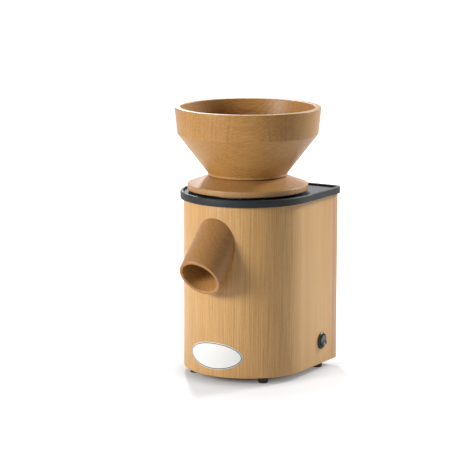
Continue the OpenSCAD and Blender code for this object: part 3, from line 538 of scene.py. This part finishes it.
spoutWoodLook = dict(
    specular=0.4, turn=(0, 44.1, 90),
    figure={"Pale": hexColor("B4844B"), "Warm": hexColor("A47340"), "Dark": hexColor("754B2A"),
            "Ring Step": 6.0, "Ring Depth": 0.45, "Wave": 1.5, "Fibre": 0.7, "Fleck": 0.6},
    edge=1.4, edgeShare=0.4, edgeColor=hexColor("C39A6B"), gloss=(0.42, 0.54), bump=0.04,
)

baseBoardLook = dict(
    backWoodLook, turn=(0, 0, 0), shift=(0, 300, 0),
    figure=dict(backWoodLook["figure"], Pale=hexColor("C49A6C"), Warm=hexColor("A97F55")),
)

materials = {
    "body_wood": woodMaterial("bodyWood", bodyWoodLook),
    "back_wood": woodMaterial("backWood", backWoodLook),
    "hopper_wood": woodMaterial("hopperWood", hopperWoodLook),
    "disc_wood": woodMaterial("discWood", discWoodLook),
    "spout_wood": woodMaterial("spoutWood", spoutWoodLook),
    "base_board": woodMaterial("baseBoard", baseBoardLook),
}


# Moulded, cast and stone surfaces share one recipe
def grainyMaterial(name, base, light, deep, size, amount, rough, bump, edgeColor, edgeShare=0.3,
                   edge=0.6, **fixed):
    material, tree, shader, where = newMaterial(name, **fixed)
    grain = tree.group(speckle, Vector=where, Size=size, Base=hexColor(base), Light=hexColor(light),
                       Deep=hexColor(deep), Amount=amount)
    wearAndHighlight = tree.group(edgeWearAndHighlight, Radius=edge * mm, Strength=edgeShare)["Wear And Highlight"]
    tree.feed(shader, "Base Color", tree.mix(wearAndHighlight, grain["Color"], hexColor(edgeColor)))
    tree.feed(shader, "Roughness", tree.span(grain["Mask"], 0.0, 1.0, *rough))
    addBump(tree, shader, grain["Height"], bump)
    return material


def metalMaterial(name, base, shade, rough, stretch=(1, 1, 1), bump=0.01):
    material, tree, shader, where = newMaterial(name, Metallic=1.0)
    finish = tree.group(metalFinish, Vector=where, Stretch=stretch, Base=hexColor(base),
                        Shade=hexColor(shade))
    tree.feed(shader, "Base Color", finish["Color"])
    tree.feed(shader, "Roughness", tree.span(finish["Gloss"], 0.2, 0.8, *rough))
    addBump(tree, shader, finish["Height"], bump)
    return material


# size is the grain's and edge the rubbed edge's, both in mm
grainyLooks = {
    "tray_black": dict(
        name="trayBlack", base="050708", light="2F373B", deep="020303", size=1.7, amount=0.9,
        rough=(0.42, 0.68), bump=0.2, edgeColor="4A5257", edgeShare=0.35, edge=0.8,
        Specular_IOR_Level=0.28),
    "foot_rubber": dict(
        name="footRubber", base="1B1C1E", light="303234", deep="101113", size=0.7, amount=0.5,
        rough=(0.62, 0.8), bump=0.05, edgeColor="3A3C3E", edgeShare=0.25),
    "black_plastic": dict(
        name="blackPlastic", base="0B0D0F", light="16181B", deep="050607", size=0.35, amount=0.35,
        rough=(0.3, 0.42), bump=0.012, edgeColor="3C4046", Specular_IOR_Level=0.35),
    "slide_plastic": dict(
        name="slidePlastic", base="E4E0D4", light="F1EEE6", deep="CFC9B8", size=0.8, amount=0.3,
        rough=(0.3, 0.42), bump=0.01, edgeColor="F4F2EC"),
    "fan_plastic": dict(
        name="fanPlastic", base="2E3338", light="43484E", deep="1F2226", size=0.6, amount=0.4,
        rough=(0.4, 0.55), bump=0.02, edgeColor="555B62"),
    "cast_aluminium": dict(
        name="castAluminium", base="9DA0A1", light="B9BCBD", deep="7C7F81", size=0.8, amount=0.5,
        rough=(0.38, 0.55), bump=0.05, edgeColor="CDD0D1", edgeShare=0.35, Metallic=0.85),
    "seal_felt": dict(
        name="sealFelt", base="D8D3C6", light="ECE8DD", deep="B9B2A2", size=0.35, amount=0.8,
        rough=(0.85, 0.95), bump=0.15, edgeColor="E9E5DA", edgeShare=0.1, Sheen_Weight=0.4),
    "mill_stone": dict(
        name="millStone", base="C9C5BC", light="E6E3DC", deep="8F8A80", size=1.4, amount=0.85,
        rough=(0.75, 0.9), bump=0.25, edgeColor="E4E1DA", edgeShare=0.4),
}
metalLooks = {
    "zinc_steel": dict(name="zincSteel", base="B9BDC1", shade="93989D", rough=(0.25, 0.42)),
    "bright_steel": dict(name="brightSteel", base="C9CBCD", shade="A9ACAF", rough=(0.12, 0.26),
                         stretch=(0.2, 0.2, 3)),
    "core_steel": dict(name="coreSteel", base="6F7376", shade="54585B", rough=(0.4, 0.55),
                       stretch=(0.05, 0.05, 4), bump=0.05),
    "copper": dict(name="copperWire", base="B4683A", shade="8F4C28", rough=(0.25, 0.4),
                   stretch=(0.3, 0.3, 0.3), bump=0.05),
    "contact_brass": dict(name="contactBrass", base="C8A456", shade="A58238", rough=(0.2, 0.36)),
}
for slot, look in grainyLooks.items():
    materials[slot] = grainyMaterial(**look)
for slot, look in metalLooks.items():
    materials[slot] = metalMaterial(**look)
print("shared materials ready:", len(materials))

# The spout and the switch pass through the body's wall, so their sizes and places come first
spout = dict(
    outer=29.4, bore=24.5, angle=44.1, mouthOut=34.6, mouthDrop=91.0, mouthCut=9.3, lip=1.9,
    lipClear=4.0, lipSteps=8, root=70.7, rootNear=20.0, rootFar=110.0, rootSteps=40, around=112,
)
spoutMouth = (0, -(mill["radius"] + spout["mouthOut"]), mill["bodyTop"] - spout["mouthDrop"])
spoutPlace = Matrix.Translation(spoutMouth) @ Matrix.Rotation(-rad(90 - spout["angle"]), 4, "X")

switch = dict(
    y=52.9, z=40.9, bezel=23.0, bezelHigh=2.2, barrel=20.0, barrelDeep=24.0, slotRadius=8.6,
    rocker=8.2, tilt=9.0, face=3.0, pivot=0.6, edge=0.5, markOut=4.1, markHigh=3.2, markWide=0.5,
)
switchPlace = Matrix.Translation((mill["radius"], switch["y"], switch["z"])) \
    @ Matrix.Rotation(rad(90), 4, "Y")

bodyShell = dict(topEdge=1.0, bottomEdge=1.4, sideSteps=8, frontSteps=144,
                 spoutCut=(0, 110), switchCut=(-30, 10))


# The bent wall is one section swept round the plan, open at the back
def makeBodyShell():
    radius, end = mill["radius"], mill["back"] - mill["backThick"] - mill["gap"]
    low, high, wall = mill["bodyBottom"], mill["bodyTop"], mill["wall"]
    topEdge, bottomEdge = bodyShell["topEdge"], bodyShell["bottomEdge"]
    section = rounded([(0, low, bottomEdge), (0, high, topEdge), (wall, high, topEdge),
                       (wall, low, bottomEdge)])
    steps = bodyShell["sideSteps"]
    left = [((-radius, end * (1 - k / steps)), (-1, 0)) for k in range(steps)]
    right = [((radius, end * k / steps), (1, 0)) for k in range(1, steps + 1)]
    front = zip(arc(0, 0, radius, math.pi, math.pi, bodyShell["frontSteps"]),
                arc(0, 0, 1, math.pi, math.pi, bodyShell["frontSteps"]))
    rings = [[(x - nx * depth, y - ny * depth, z) for depth, z in section]
             for (x, y), (nx, ny) in left + list(front) + right]
    piece = loft("bodyShell", rings, capped=True)
    spoutHole = roundRod(spout["outer"] + mill["gap"], *bodyShell["spoutCut"])
    switchHole = roundRod(switch["barrel"] / 2 + mill["gap"], *bodyShell["switchCut"])
    return cutAway(piece, [placeAt(spoutHole, spoutPlace), placeAt(switchHole, switchPlace)])


bodyPiece = makeBodyShell()
setUp(bodyPiece, "housing", ["housing_shell"], "body_wood")
print("body shell:", len(bodyPiece.data.polygons), "faces")

backBoard = dict(
    edge=1.2, edgeSteps=5, innerEdge=0.3, cornerSteps=4, vents=7, ventWide=4.0, ventHigh=30.0,
    ventStep=9.0, ventDrop=62.0, inletZ=42.0, inletWide=32.0, inletHigh=21.0, cutBeyond=2.0,
)


def makeBackBoard():
    half, front, back = mill["radius"], mill["back"] - mill["backThick"], mill["back"]
    low, high, edge = mill["bodyBottom"], mill["bodyTop"], backBoard["edge"]
    inner = backBoard["innerEdge"]
    outline = rounded([(-half, front, inner), (half, front, inner), (half, back, edge),
                       (-half, back, edge)], backBoard["cornerSteps"])
    soft = [(edge * inset, edge * rise) for inset, rise in quarterRound(backBoard["edgeSteps"])]
    rings = [insetRing(outline, inset, low + rise) for inset, rise in soft]
    rings += [insetRing(outline, inset, high - rise) for inset, rise in reversed(soft)]
    piece = loft("backBoard", rings, capped=True)
    near, far = front - backBoard["cutBeyond"], back + backBoard["cutBeyond"]
    ventZ = high - backBoard["ventDrop"] + backBoard["ventHigh"] / 2
    cutters = []
    for k in range(backBoard["vents"]):
        x = (k - (backBoard["vents"] - 1) / 2) * backBoard["ventStep"]
        cutter = slotRod(backBoard["ventWide"], backBoard["ventHigh"], near, far)
        cutters.append(placeAt(cutter, Matrix.Translation((x, 0, ventZ))))
    wide, tall, inletZ = backBoard["inletWide"] / 2, backBoard["inletHigh"] / 2, backBoard["inletZ"]
    corners = ((-wide, -tall), (-wide, tall), (wide, tall), (wide, -tall))
    window = [[(x, y, inletZ + z) for x, z in corners] for y in (near, far)]
    return cutAway(piece, cutters + [loft("window", window, capped=True)])


def insetRing(outline, inset, z):   # pulls the board's outline in from all four sides
    half, deep = mill["radius"], mill["backThick"] / 2
    middle = mill["back"] - deep
    return [(x * (half - inset) / half, middle + (y - middle) * (deep - inset) / deep, z)
            for x, y in outline]


backPiece = makeBackBoard()
setUp(backPiece, "housing", ["back_panel"], "back_wood")
print("back board:", len(backPiece.data.polygons), "faces")

tray = dict(over=4.4, rim=4.6, corner=9.0, leastCorner=2.0, hole=36.3, outerEdge=1.6, rimEdge=1.3,
            foot=1.5, under=0.6, floorIn=12, frontSteps=96, sideSteps=10, cornerSteps=10, backSteps=24)


# The tray's plan, pulled in by inset: from the left round the front, then along the back
def trayPlan(inset):
    radius, back = mill["radius"] + tray["over"] - inset, mill["back"] + tray["over"] - inset
    corner = max(tray["corner"] - inset, tray["leastCorner"])
    inner, deep = radius - corner, back - corner
    sides, across, bend = tray["sideSteps"], tray["backSteps"], tray["cornerSteps"]
    points = arc(0, 0, radius, math.pi, math.pi, tray["frontSteps"])
    points += [(radius, deep * k / sides) for k in range(1, sides)]
    points += arc(inner, deep, corner, 0, math.pi / 2, bend)
    points += [(inner * (1 - 2 * k / across), back) for k in range(1, across)]
    points += arc(-inner, deep, corner, math.pi / 2, math.pi / 2, bend)
    return points + [(-radius, deep * k / sides) for k in range(sides - 1, 0, -1)]


# Rings from under the rim up over it to the floor, in to the hole and back below
def makeTray():
    low, floorZ, top = mill["bodyTop"], mill["trayFloor"], mill["trayTop"]
    rim, floorIn = tray["rim"], tray["rim"] + tray["floorIn"]
    section = rounded([(0, low, tray["under"]), (0, top, tray["outerEdge"]),
                       (rim, top, tray["rimEdge"]), (rim, floorZ, tray["foot"]),
                       (floorIn, floorZ), (floorIn, low)])
    rings = [[(x, y, z) for x, y in trayPlan(inset)] for inset, z in section]
    turns = [math.atan2(y, x) for x, y, _z in rings[0]]
    hole = [[(tray["hole"] * math.cos(turn), tray["hole"] * math.sin(turn), z) for turn in turns]
            for z in (floorZ, low)]
    return loft("topTray", rings[:-1] + hole + rings[-1:])


trayPiece = makeTray()
setUp(trayPiece, "housing", ["top_tray"], "tray_black")

disc = dict(radius=80.6, edgeHigh=7.5, neckRadius=51.2, neckIn=2, neckEdge=1.5, bore=23.8,
            lowEdge=0.8, topEdge=0.9, cornerSteps=7, around=192)


def makeDisc():
    low, neck = mill["discBottom"], mill["neck"]
    profile = rounded([
        (disc["bore"], low), (disc["radius"], low, disc["lowEdge"]),
        (disc["radius"], low + disc["edgeHigh"], disc["topEdge"]),
        (disc["neckRadius"] - disc["neckIn"], neck, disc["neckEdge"]), (disc["bore"], neck),
    ], disc["cornerSteps"])
    return lathe("adjustingDisc", profile, disc["around"])


discPiece = makeDisc()
setUp(discPiece, "adjuster", ["adjusting_disc"], "disc_wood")

hopper = dict(
    neckRadius=51.2, coneHigh=55.6, bandHigh=35.4, bellyRadius=93.9, rimRadius=97.5, wall=8.0,
    throat=17.0, spigot=23.5, spigotDrop=22.3, slope=30.0, throatHigh=6.0, throatEdge=1.0,
    footHigh=3.0, footIn=0.15, footEdge=0.8, bellyEdge=2.0, rimEdge=1.2, insideEdge=6.0,
    insideUp=2, cornerSteps=8, around=208,
)


# The cone outside leans by side, and the funnel inside rises at its own slope until they meet
def makeHopper():
    base = mill["neck"] + mill["seatGap"]
    belly, wall, cone = hopper["bellyRadius"], hopper["wall"], hopper["coneHigh"]
    side = (belly - hopper["neckRadius"]) / cone
    slope = math.tan(rad(hopper["slope"]))
    inside = hopper["neckRadius"] - wall / math.cos(math.atan(side))
    meet = (inside - hopper["throat"] + hopper["throatHigh"] / slope) / (1 / slope - side)
    high = cone + hopper["bandHigh"]
    foot = hopper["neckRadius"] + side * hopper["footHigh"] - hopper["footIn"]   # short and upright
    profile = rounded([
        (hopper["throat"], -hopper["spigotDrop"]), (hopper["spigot"], -hopper["spigotDrop"]),
        (hopper["spigot"], 0), (foot, 0, hopper["footEdge"]),
        (foot, hopper["footHigh"], hopper["footEdge"]), (belly, cone, hopper["bellyEdge"]),
        (hopper["rimRadius"], high, hopper["rimEdge"]),
        (hopper["rimRadius"] - wall, high, hopper["rimEdge"]),
        (belly - wall, cone + hopper["insideUp"], hopper["insideEdge"]),
        (inside + side * meet, meet, hopper["insideEdge"]),
        (hopper["throat"], hopper["throatHigh"], hopper["throatEdge"]),
    ], hopper["cornerSteps"])
    return lathe("hopperBowl", [(r, base + z) for r, z in profile], hopper["around"])


hopperPiece = makeHopper()
setUp(hopperPiece, "hopper", ["hopper_bowl"], "hopper_wood")
print("turned pieces:", len(discPiece.data.polygons) + len(hopperPiece.data.polygons), "faces")


def spoutPoint(reach, turn, along):
    return tuple(spoutPlace @ Vector((reach * math.cos(turn), reach * math.sin(turn), along)))


def rootLength(reach, turn):   # how far up the spout its wall meets the inside of the body
    low, high = spout["rootNear"], spout["rootFar"]
    for _ in range(spout["rootSteps"]):
        guess = (low + high) / 2
        x, y, _z = spoutPoint(reach, turn, guess)
        if y < 0 and math.hypot(x, y) > spout["root"]:
            low = guess
        else:
            high = guess
    return low


def wallStrip(reach, turn, mouth):   # from the root down to just above the mouth
    root, start = rootLength(reach, turn), mouth(reach, turn) + spout["lipClear"]
    return [spoutPoint(reach, turn, start + (root - start) * share) for share in (1, 0.75, 0.5, 0.25)]


# Each strip runs from the root inside the body out to the mouth and back up the bore
def makeSpout():
    tilt = math.tan(rad(spout["mouthCut"]))
    middle = (spout["outer"] + spout["bore"]) / 2
    halfWall = (spout["outer"] - spout["bore"]) / 2
    lip = rounded([(halfWall, spout["lipClear"]), (halfWall, 0, spout["lip"]),
                   (-halfWall, 0, spout["lip"]), (-halfWall, spout["lipClear"])],
                  spout["lipSteps"])[1:-1]

    def mouth(reach, turn):   # the mouth is cut off at an angle
        return -reach * math.sin(turn) * tilt

    strips = []
    for k in range(spout["around"]):
        turn = 2 * math.pi * k / spout["around"]
        edge = [spoutPoint(middle + out, turn, mouth(middle + out, turn) + rise) for out, rise in lip]
        strips.append(wallStrip(spout["outer"], turn, mouth) + edge
                      + wallStrip(spout["bore"], turn, mouth)[::-1])
    return loft("flourSpout", strips, angle=40)


spoutPiece = makeSpout()
setUp(spoutPiece, "housing", ["flour_spout"], "spout_wood")

plate = dict(
    wide=79.0, high=36.5, z=37.3, thick=0.8, edge=0.35, edgeOf=18, edgeSteps=6, around=128,
    faceShares=(0.02, 0.3, 0.6, 0.85), backShares=(1, 0.6, 0.02),
    lineIn=1.4, lineWide=1.1, lineSoft=0.08,
)


# Pearl white enamel with a thin printed line just inside the oval edge
def makePlateMaterial():
    material, tree, shader, where = newMaterial(
        "plateWhite", Specular_IOR_Level=0.5, Coat_Weight=0.3, Coat_Roughness=0.1)
    x, _y, z = tree.split(where)[:3]
    high = tree.minus(z, plate["z"])
    a, b = plate["wide"] / 2, plate["high"] / 2
    oval = tree.minus(1.0, tree.plus(tree.square(tree.over(x, a)), tree.square(tree.over(high, b))))
    slope = tree.math("SQRT", tree.plus(tree.square(tree.over(x, a * a)),
                                        tree.square(tree.over(high, b * b))))
    inwards = tree.over(oval, tree.times(slope, 2.0))   # mm in from the edge
    off = tree.size(tree.minus(inwards, plate["lineIn"]))
    half, soft = plate["lineWide"] / 2, plate["lineSoft"]
    line = tree.span(off, half + soft, half - soft)
    pearl = tree.group(speckle, Vector=where, Size=3.0, Base=hexColor("E2E2DF"),
                       Light=hexColor("ECECE9"), Deep=hexColor("D5D3CE"), Amount=0.4)
    wearAndHighlight = tree.group(edgeWearAndHighlight, Radius=0.5 * mm, Strength=0.4)["Wear And Highlight"]
    color = tree.mix(wearAndHighlight, pearl["Color"], hexColor("F0EFEC"))
    tree.feed(shader, "Base Color", tree.mix(line, color, hexColor("16181A")))
    tree.feed(shader, "Roughness", tree.plus(tree.span(pearl["Mask"], 0.0, 1.0, 0.2, 0.28),
                                             tree.times(line, 0.15)))
    addBump(tree, shader, tree.plus(tree.times(pearl["Height"], 0.2), line), 0.02)
    return material


# Thin oval that follows the round front, with a softened rim
def makePlate():
    near = mill["radius"] + mill["gap"]
    far, edge = near + plate["thick"], plate["edge"]
    section = [(share, far) for share in plate["faceShares"]]
    section += [(1 - edge / plate["edgeOf"] * inset, far - edge * drop)
                for inset, drop in quarterRound(plate["edgeSteps"])]
    section += [(share, near) for share in plate["backShares"]]
    rings = []
    for share, reach in section:
        ring = []
        for k in range(plate["around"]):
            turn = 2 * math.pi * k / plate["around"]
            x = plate["wide"] / 2 * share * math.cos(turn)
            z = plate["z"] + plate["high"] / 2 * share * math.sin(turn)
            ring.append((x, -math.sqrt(reach * reach - x * x), z))
        rings.append(ring)
    return loft("namePlate", rings, capped=True)


materials["plate_white"] = makePlateMaterial()
platePiece = makePlate()
setUp(platePiece, "housing", ["name_plate"], "plate_white")

feet = dict(high=9.0, top=15.0, tip=12.6, bore=7.7, boreDeep=6.5, screwHole=4.2, edge=1.0,
            boreEdge=0.6, topEdge=0.5, cornerSteps=4, around=48,
            places=((53.5, -47.5), (-53.5, -47.5), (71.0, 67.0), (-71.0, 67.0)))


def makeFeet():
    bore, hole = feet["bore"] / 2, feet["screwHole"] / 2
    profile = rounded([
        (bore, 0, feet["boreEdge"]), (feet["tip"] / 2, 0, feet["edge"]),
        (feet["top"] / 2, feet["high"], feet["topEdge"]), (hole, feet["high"]),
        (hole, feet["boreDeep"]), (bore, feet["boreDeep"])], feet["cornerSteps"])
    return joinPieces("rubberFeet",
                      [lathe("foot", profile, feet["around"], place) for place in feet["places"]])


feetPiece = makeFeet()
setUp(feetPiece, "housing", ["feet"], "foot_rubber")

spring = dict(ring=55.5, places=(90, 210, 330), radius=4.2, wire=0.55, low=223.1, high=233.9,
              turns=5, steps=24, sides=10, travel=2.05)


# Coil springs on the guide pins, which press the upper stone's carrier down
def makeSprings():
    wire, count = spring["wire"], spring["turns"] * spring["steps"]
    coils = []
    for place in spring["places"]:
        x, y = spring["ring"] * math.cos(rad(place)), spring["ring"] * math.sin(rad(place))
        rings = []
        for k in range(count + 1):
            turn = 2 * math.pi * k / spring["steps"]
            z = spring["low"] + wire + (spring["high"] - spring["low"] - 2 * wire) * k / count
            rings.append([(x + reach * math.cos(turn), y + reach * math.sin(turn), z + rise)
                          for reach, rise, _ in circle(wire, 0, spring["sides"],
                                                       (spring["radius"], 0))])
        coils.append(loft("coil", rings, capped=True))
    return joinPieces("carrierSprings", coils)


springPiece = makeSprings()
setUp(springPiece, "housing", ["carrier_springs"], "bright_steel")
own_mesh(springPiece)

bezel = dict(innerEdge=0.35, lipIn=0.9, lipUp=0.05, lipEdge=0.4, crown=0.72, crownEdge=0.8,
             skirt=0.3, skirtEdge=0.5, barrelEdge=0.8, well=1, axis=0.01,
             cornerSteps=4, around=96)


def makeBezel():
    outer, slot, high = switch["bezel"] / 2, switch["slotRadius"], switch["bezelHigh"]
    barrel, deep = switch["barrel"] / 2, -switch["barrelDeep"]
    wellZ, axis = -slot - bezel["well"], bezel["axis"]
    profile = rounded([
        (slot, wellZ), (slot, high, bezel["innerEdge"]),
        (slot + bezel["lipIn"], high + bezel["lipUp"], bezel["lipEdge"]),
        (outer - bezel["lipIn"], high * bezel["crown"], bezel["crownEdge"]),
        (outer, high * bezel["skirt"], bezel["skirtEdge"]), (outer, mill["gap"]),
        (barrel, mill["gap"]), (barrel, deep, bezel["barrelEdge"]), (axis, deep), (axis, wellZ),
    ], bezel["cornerSteps"])
    return placeAt(lathe("switchBezel", profile, bezel["around"]), switchPlace)


bezelPiece = makeBezel()
setUp(bezelPiece, "housing", ["switch_barrel"], "black_plastic")

rocker = dict(around=64, rows=24, faceShare=0.93, valley=0.2, levels=(1.5, 0, -2, -4.5),
              soft=((0.08, 0.25), (0.25, 0.42), (0.5, 0.5)), markSoft=0.06, markFrom=(1.5, 2.0))


# Black gloss plastic with the two printed marks, a bar above and a ring below
def makeRockerMaterial():
    material, tree, shader, where = newMaterial("rockerPlastic", Specular_IOR_Level=0.5)
    x, y, z = tree.split(where)[:3]
    halfWide, halfHigh, soft = switch["markWide"] / 2, switch["markHigh"] / 2, rocker["markSoft"]
    across = tree.minus(y, switch["y"])
    barUp = tree.minus(z, switch["z"] + switch["markOut"])
    ringUp = tree.minus(z, switch["z"] - switch["markOut"])
    barOff = tree.math("MAXIMUM", tree.minus(tree.size(across), halfWide),
                       tree.minus(tree.size(barUp), halfHigh))
    ringReach = tree.length(tree.merge(across, ringUp, 0.0))
    ringOff = tree.minus(tree.size(tree.minus(ringReach, halfHigh)), halfWide)
    mark = tree.span(tree.math("MINIMUM", barOff, ringOff), soft, -soft)
    mark = tree.times(mark, tree.span(x, *(mill["radius"] + out for out in rocker["markFrom"])))
    grain = tree.group(speckle, Vector=where, Size=0.3, Base=hexColor("0D1013"),
                       Light=hexColor("1B2026"), Deep=hexColor("060809"), Amount=0.3)
    wearAndHighlight = tree.group(edgeWearAndHighlight, Radius=0.6 * mm, Strength=0.35)["Wear And Highlight"]
    color = tree.mix(wearAndHighlight, grain["Color"], hexColor("3A424B"))
    tree.feed(shader, "Base Color", tree.mix(mark, color, hexColor("B9BFC4")))
    tree.feed(shader, "Roughness", tree.plus(tree.span(grain["Mask"], 0.0, 1.0, 0.18, 0.26),
                                             tree.times(mark, 0.2)))
    addBump(tree, shader, tree.plus(tree.times(grain["Height"], 0.2), mark), 0.02)
    return material


# Round rocker: a ball cut by its two faces, which meet in a shallow valley
def makeRocker():
    ball, tilt = switch["rocker"], math.tan(rad(switch["tilt"]))

    def faceHigh(x):
        return switch["face"] + math.sqrt(x * x + rocker["valley"]) * tilt

    rings = []
    for row in range(rocker["rows"] + 1):
        reach = ball * rocker["faceShare"] * row / rocker["rows"]
        ring = []
        for x, y, _ in circle(reach, 0, rocker["around"]):
            limit = math.sqrt(max(ball * ball - faceHigh(x) ** 2, 0))
            keep = min(1.0, (limit - switch["edge"]) / max(reach, 0.01))
            ring.append((x * keep, y * keep, faceHigh(x * keep)))
        rings.append(ring)
    top = [(x, y, z, math.hypot(x, y)) for x, y, z in rings[-1]]
    for drop, out in rocker["soft"]:
        rings.append([(x * (reach + out) / reach, y * (reach + out) / reach, z - drop)
                      for x, y, z, reach in top])
    for level in rocker["levels"]:
        wide = math.sqrt(ball * ball - level * level)
        rings.append([(x / reach * wide, y / reach * wide, level) for x, y, _, reach in top])
    piece = loft("switchRocker", rings, angle=28, capped=True)
    pivot = Matrix.Translation((mill["radius"] + switch["pivot"], switch["y"], switch["z"]))
    return placeAt(piece, pivot @ Matrix.Rotation(rad(90 - switch["tilt"]), 4, "Y"))


materials["rocker_plastic"] = makeRockerMaterial()
rockerPiece = makeRocker()
setUp(rockerPiece, "rocker", ["switch_rocker"], "rocker_plastic")
print("spout, plate, feet, springs and switch built")

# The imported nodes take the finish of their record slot
for part in frame["record"]["subparts"]:
    node = frame["nodes"][part["node"]]
    finish = materials[part.get("material_slot") or part.get("material")]
    if not node.material_slots:
        node.data.materials.append(finish)
    for place in node.material_slots:
        place.material = finish
print("packed nodes dressed:", len(frame["nodes"]))

# Camera of the photograph
view = dict(azimuth=31.744, elevation=10.298, roll=0.08, distance=2.8002, lens=164.05,
            aim=(-0.0212, -0.0131, 0.1942), sensor=36, far=60)
cameraData = bpy.data.cameras.new("camera")
cameraData.lens = view["lens"]
cameraData.sensor_width = view["sensor"]
cameraData.clip_end = view["far"]
camera = bpy.data.objects.new("camera", cameraData)
bpy.context.scene.collection.objects.link(camera)
lookBack = Vector((math.sin(rad(view["azimuth"])) * math.cos(rad(view["elevation"])),
                   -math.cos(rad(view["azimuth"])) * math.cos(rad(view["elevation"])),
                   math.sin(rad(view["elevation"]))))
turn = Euler((rad(90 - view["elevation"]), 0, rad(view["azimuth"]))).to_matrix() \
    @ Matrix.Rotation(rad(view["roll"]), 3, "Z")
lookFrom = Vector(view["aim"]) + lookBack * view["distance"]
camera.matrix_world = Matrix.Translation(lookFrom) @ turn.to_4x4()
bpy.context.scene.camera = camera

# Lamps: azimuth from the camera's side, elevation, distance, size and power
lamps = dict(
    key=dict(side=-58, up=17, away=1.8, size=0.65, power=30.0),
    rim=dict(side=-171, up=35, away=1.8, size=0.15, power=22.0),
    rightSide=dict(side=121, up=31, away=1.8, size=0.5, power=37.0),
)
lampAim = Vector((0, 0, 0.19))
for lampName, lamp in lamps.items():
    light = bpy.data.lights.new(lampName, "AREA")
    light.shape = "DISK"
    light.size = lamp["size"]
    light.energy = lamp["power"]
    holder = bpy.data.objects.new(lampName, light)
    bpy.context.scene.collection.objects.link(holder)
    azimuth = rad(view["azimuth"] + lamp["side"])
    up = rad(lamp["up"])
    toward = Vector((math.sin(azimuth) * math.cos(up), -math.cos(azimuth) * math.cos(up), math.sin(up)))
    holder.location = lampAim + toward * lamp["away"]
    holder.rotation_euler = toward.to_track_quat("Z", "Y").to_euler()


def shownOnly(tree):   # 1 to the camera and in reflections, 0 where light would fall on the mill
    rays = tree.add("ShaderNodeLightPath").outputs
    return tree.math("MAXIMUM", tree.math("MAXIMUM", rays["Is Camera Ray"], rays["Is Glossy Ray"]),
                     rays["Is Transmission Ray"])


# Pale floor: its colour for the light it throws on the mill and as seen, how it turns white, and how
# far the painted shade round the mill reaches
floorLook = dict(half=20, shader=dict(Roughness=0.6, Specular_IOR_Level=0.2),
                 lit=(0.86, 0.87, 0.88, 1), seen=(0.36, 0.36, 0.366, 1),
                 paintedShadeNearRise=(-45.0, 30.0, 0.0, 0.55), paintedShadeFarRise=(20.0, 220.0, 0.0, 0.45))


# The floor's glow is held back under and beside the mill, which paints shade there on top of the real
# shadow, and further out the floor is plain white
def makeFloorMaterial():
    material, tree, shader, where = newMaterial(
        "floorPaper", Emission_Color=(1, 1, 1, 1), **floorLook["shader"])
    x, y, _z = tree.split(where)[:3]
    front = tree.length(tree.merge(x, tree.math("MINIMUM", y, 0.0), 0.0))
    gap = tree.math("MAXIMUM", tree.minus(front, mill["radius"]),
                    tree.minus(y, mill["back"]))   # mm out from under the body
    # Painted shade: the glow rises only away from the mill, so the floor under and near it stays darker
    glowBeyondPaintedShade = tree.plus(tree.span(gap, *floorLook["paintedShadeNearRise"], smooth=True),
                     tree.span(gap, *floorLook["paintedShadeFarRise"], smooth=True))
    seen = shownOnly(tree)
    tree.feed(shader, "Emission Strength", tree.times(seen, glowBeyondPaintedShade))
    tree.feed(shader, "Base Color", tree.mix(seen, floorLook["lit"], floorLook["seen"]))
    return material


floorMesh = bpy.data.meshes.new("floor")
side = floorLook["half"]
floorMesh.from_pydata([(-side, -side, 0), (side, -side, 0), (side, side, 0), (-side, side, 0)], [],
                      [(0, 1, 2, 3)])
floor = bpy.data.objects.new("floor", floorMesh)
bpy.context.scene.collection.objects.link(floor)
floor.data.materials.append(makeFloorMaterial())

# The world is white only to the camera and in reflections
worldGlow = 0.03   # the little light that still falls on the mill
world = bpy.data.worlds.new("studio")
bpy.context.scene.world = world
world.use_nodes = True
worldTree = Tree(world.node_tree)
background = next(n for n in worldTree.nodes if n.type == "BACKGROUND")
worldTree.feed(background, "Strength", worldTree.span(shownOnly(worldTree), 0.0, 1.0, worldGlow, 1.0))
background.inputs["Color"].default_value = (1, 1, 1, 1)
bpy.context.scene.view_settings.view_transform = "Standard"
print("camera, lamps and floor set")
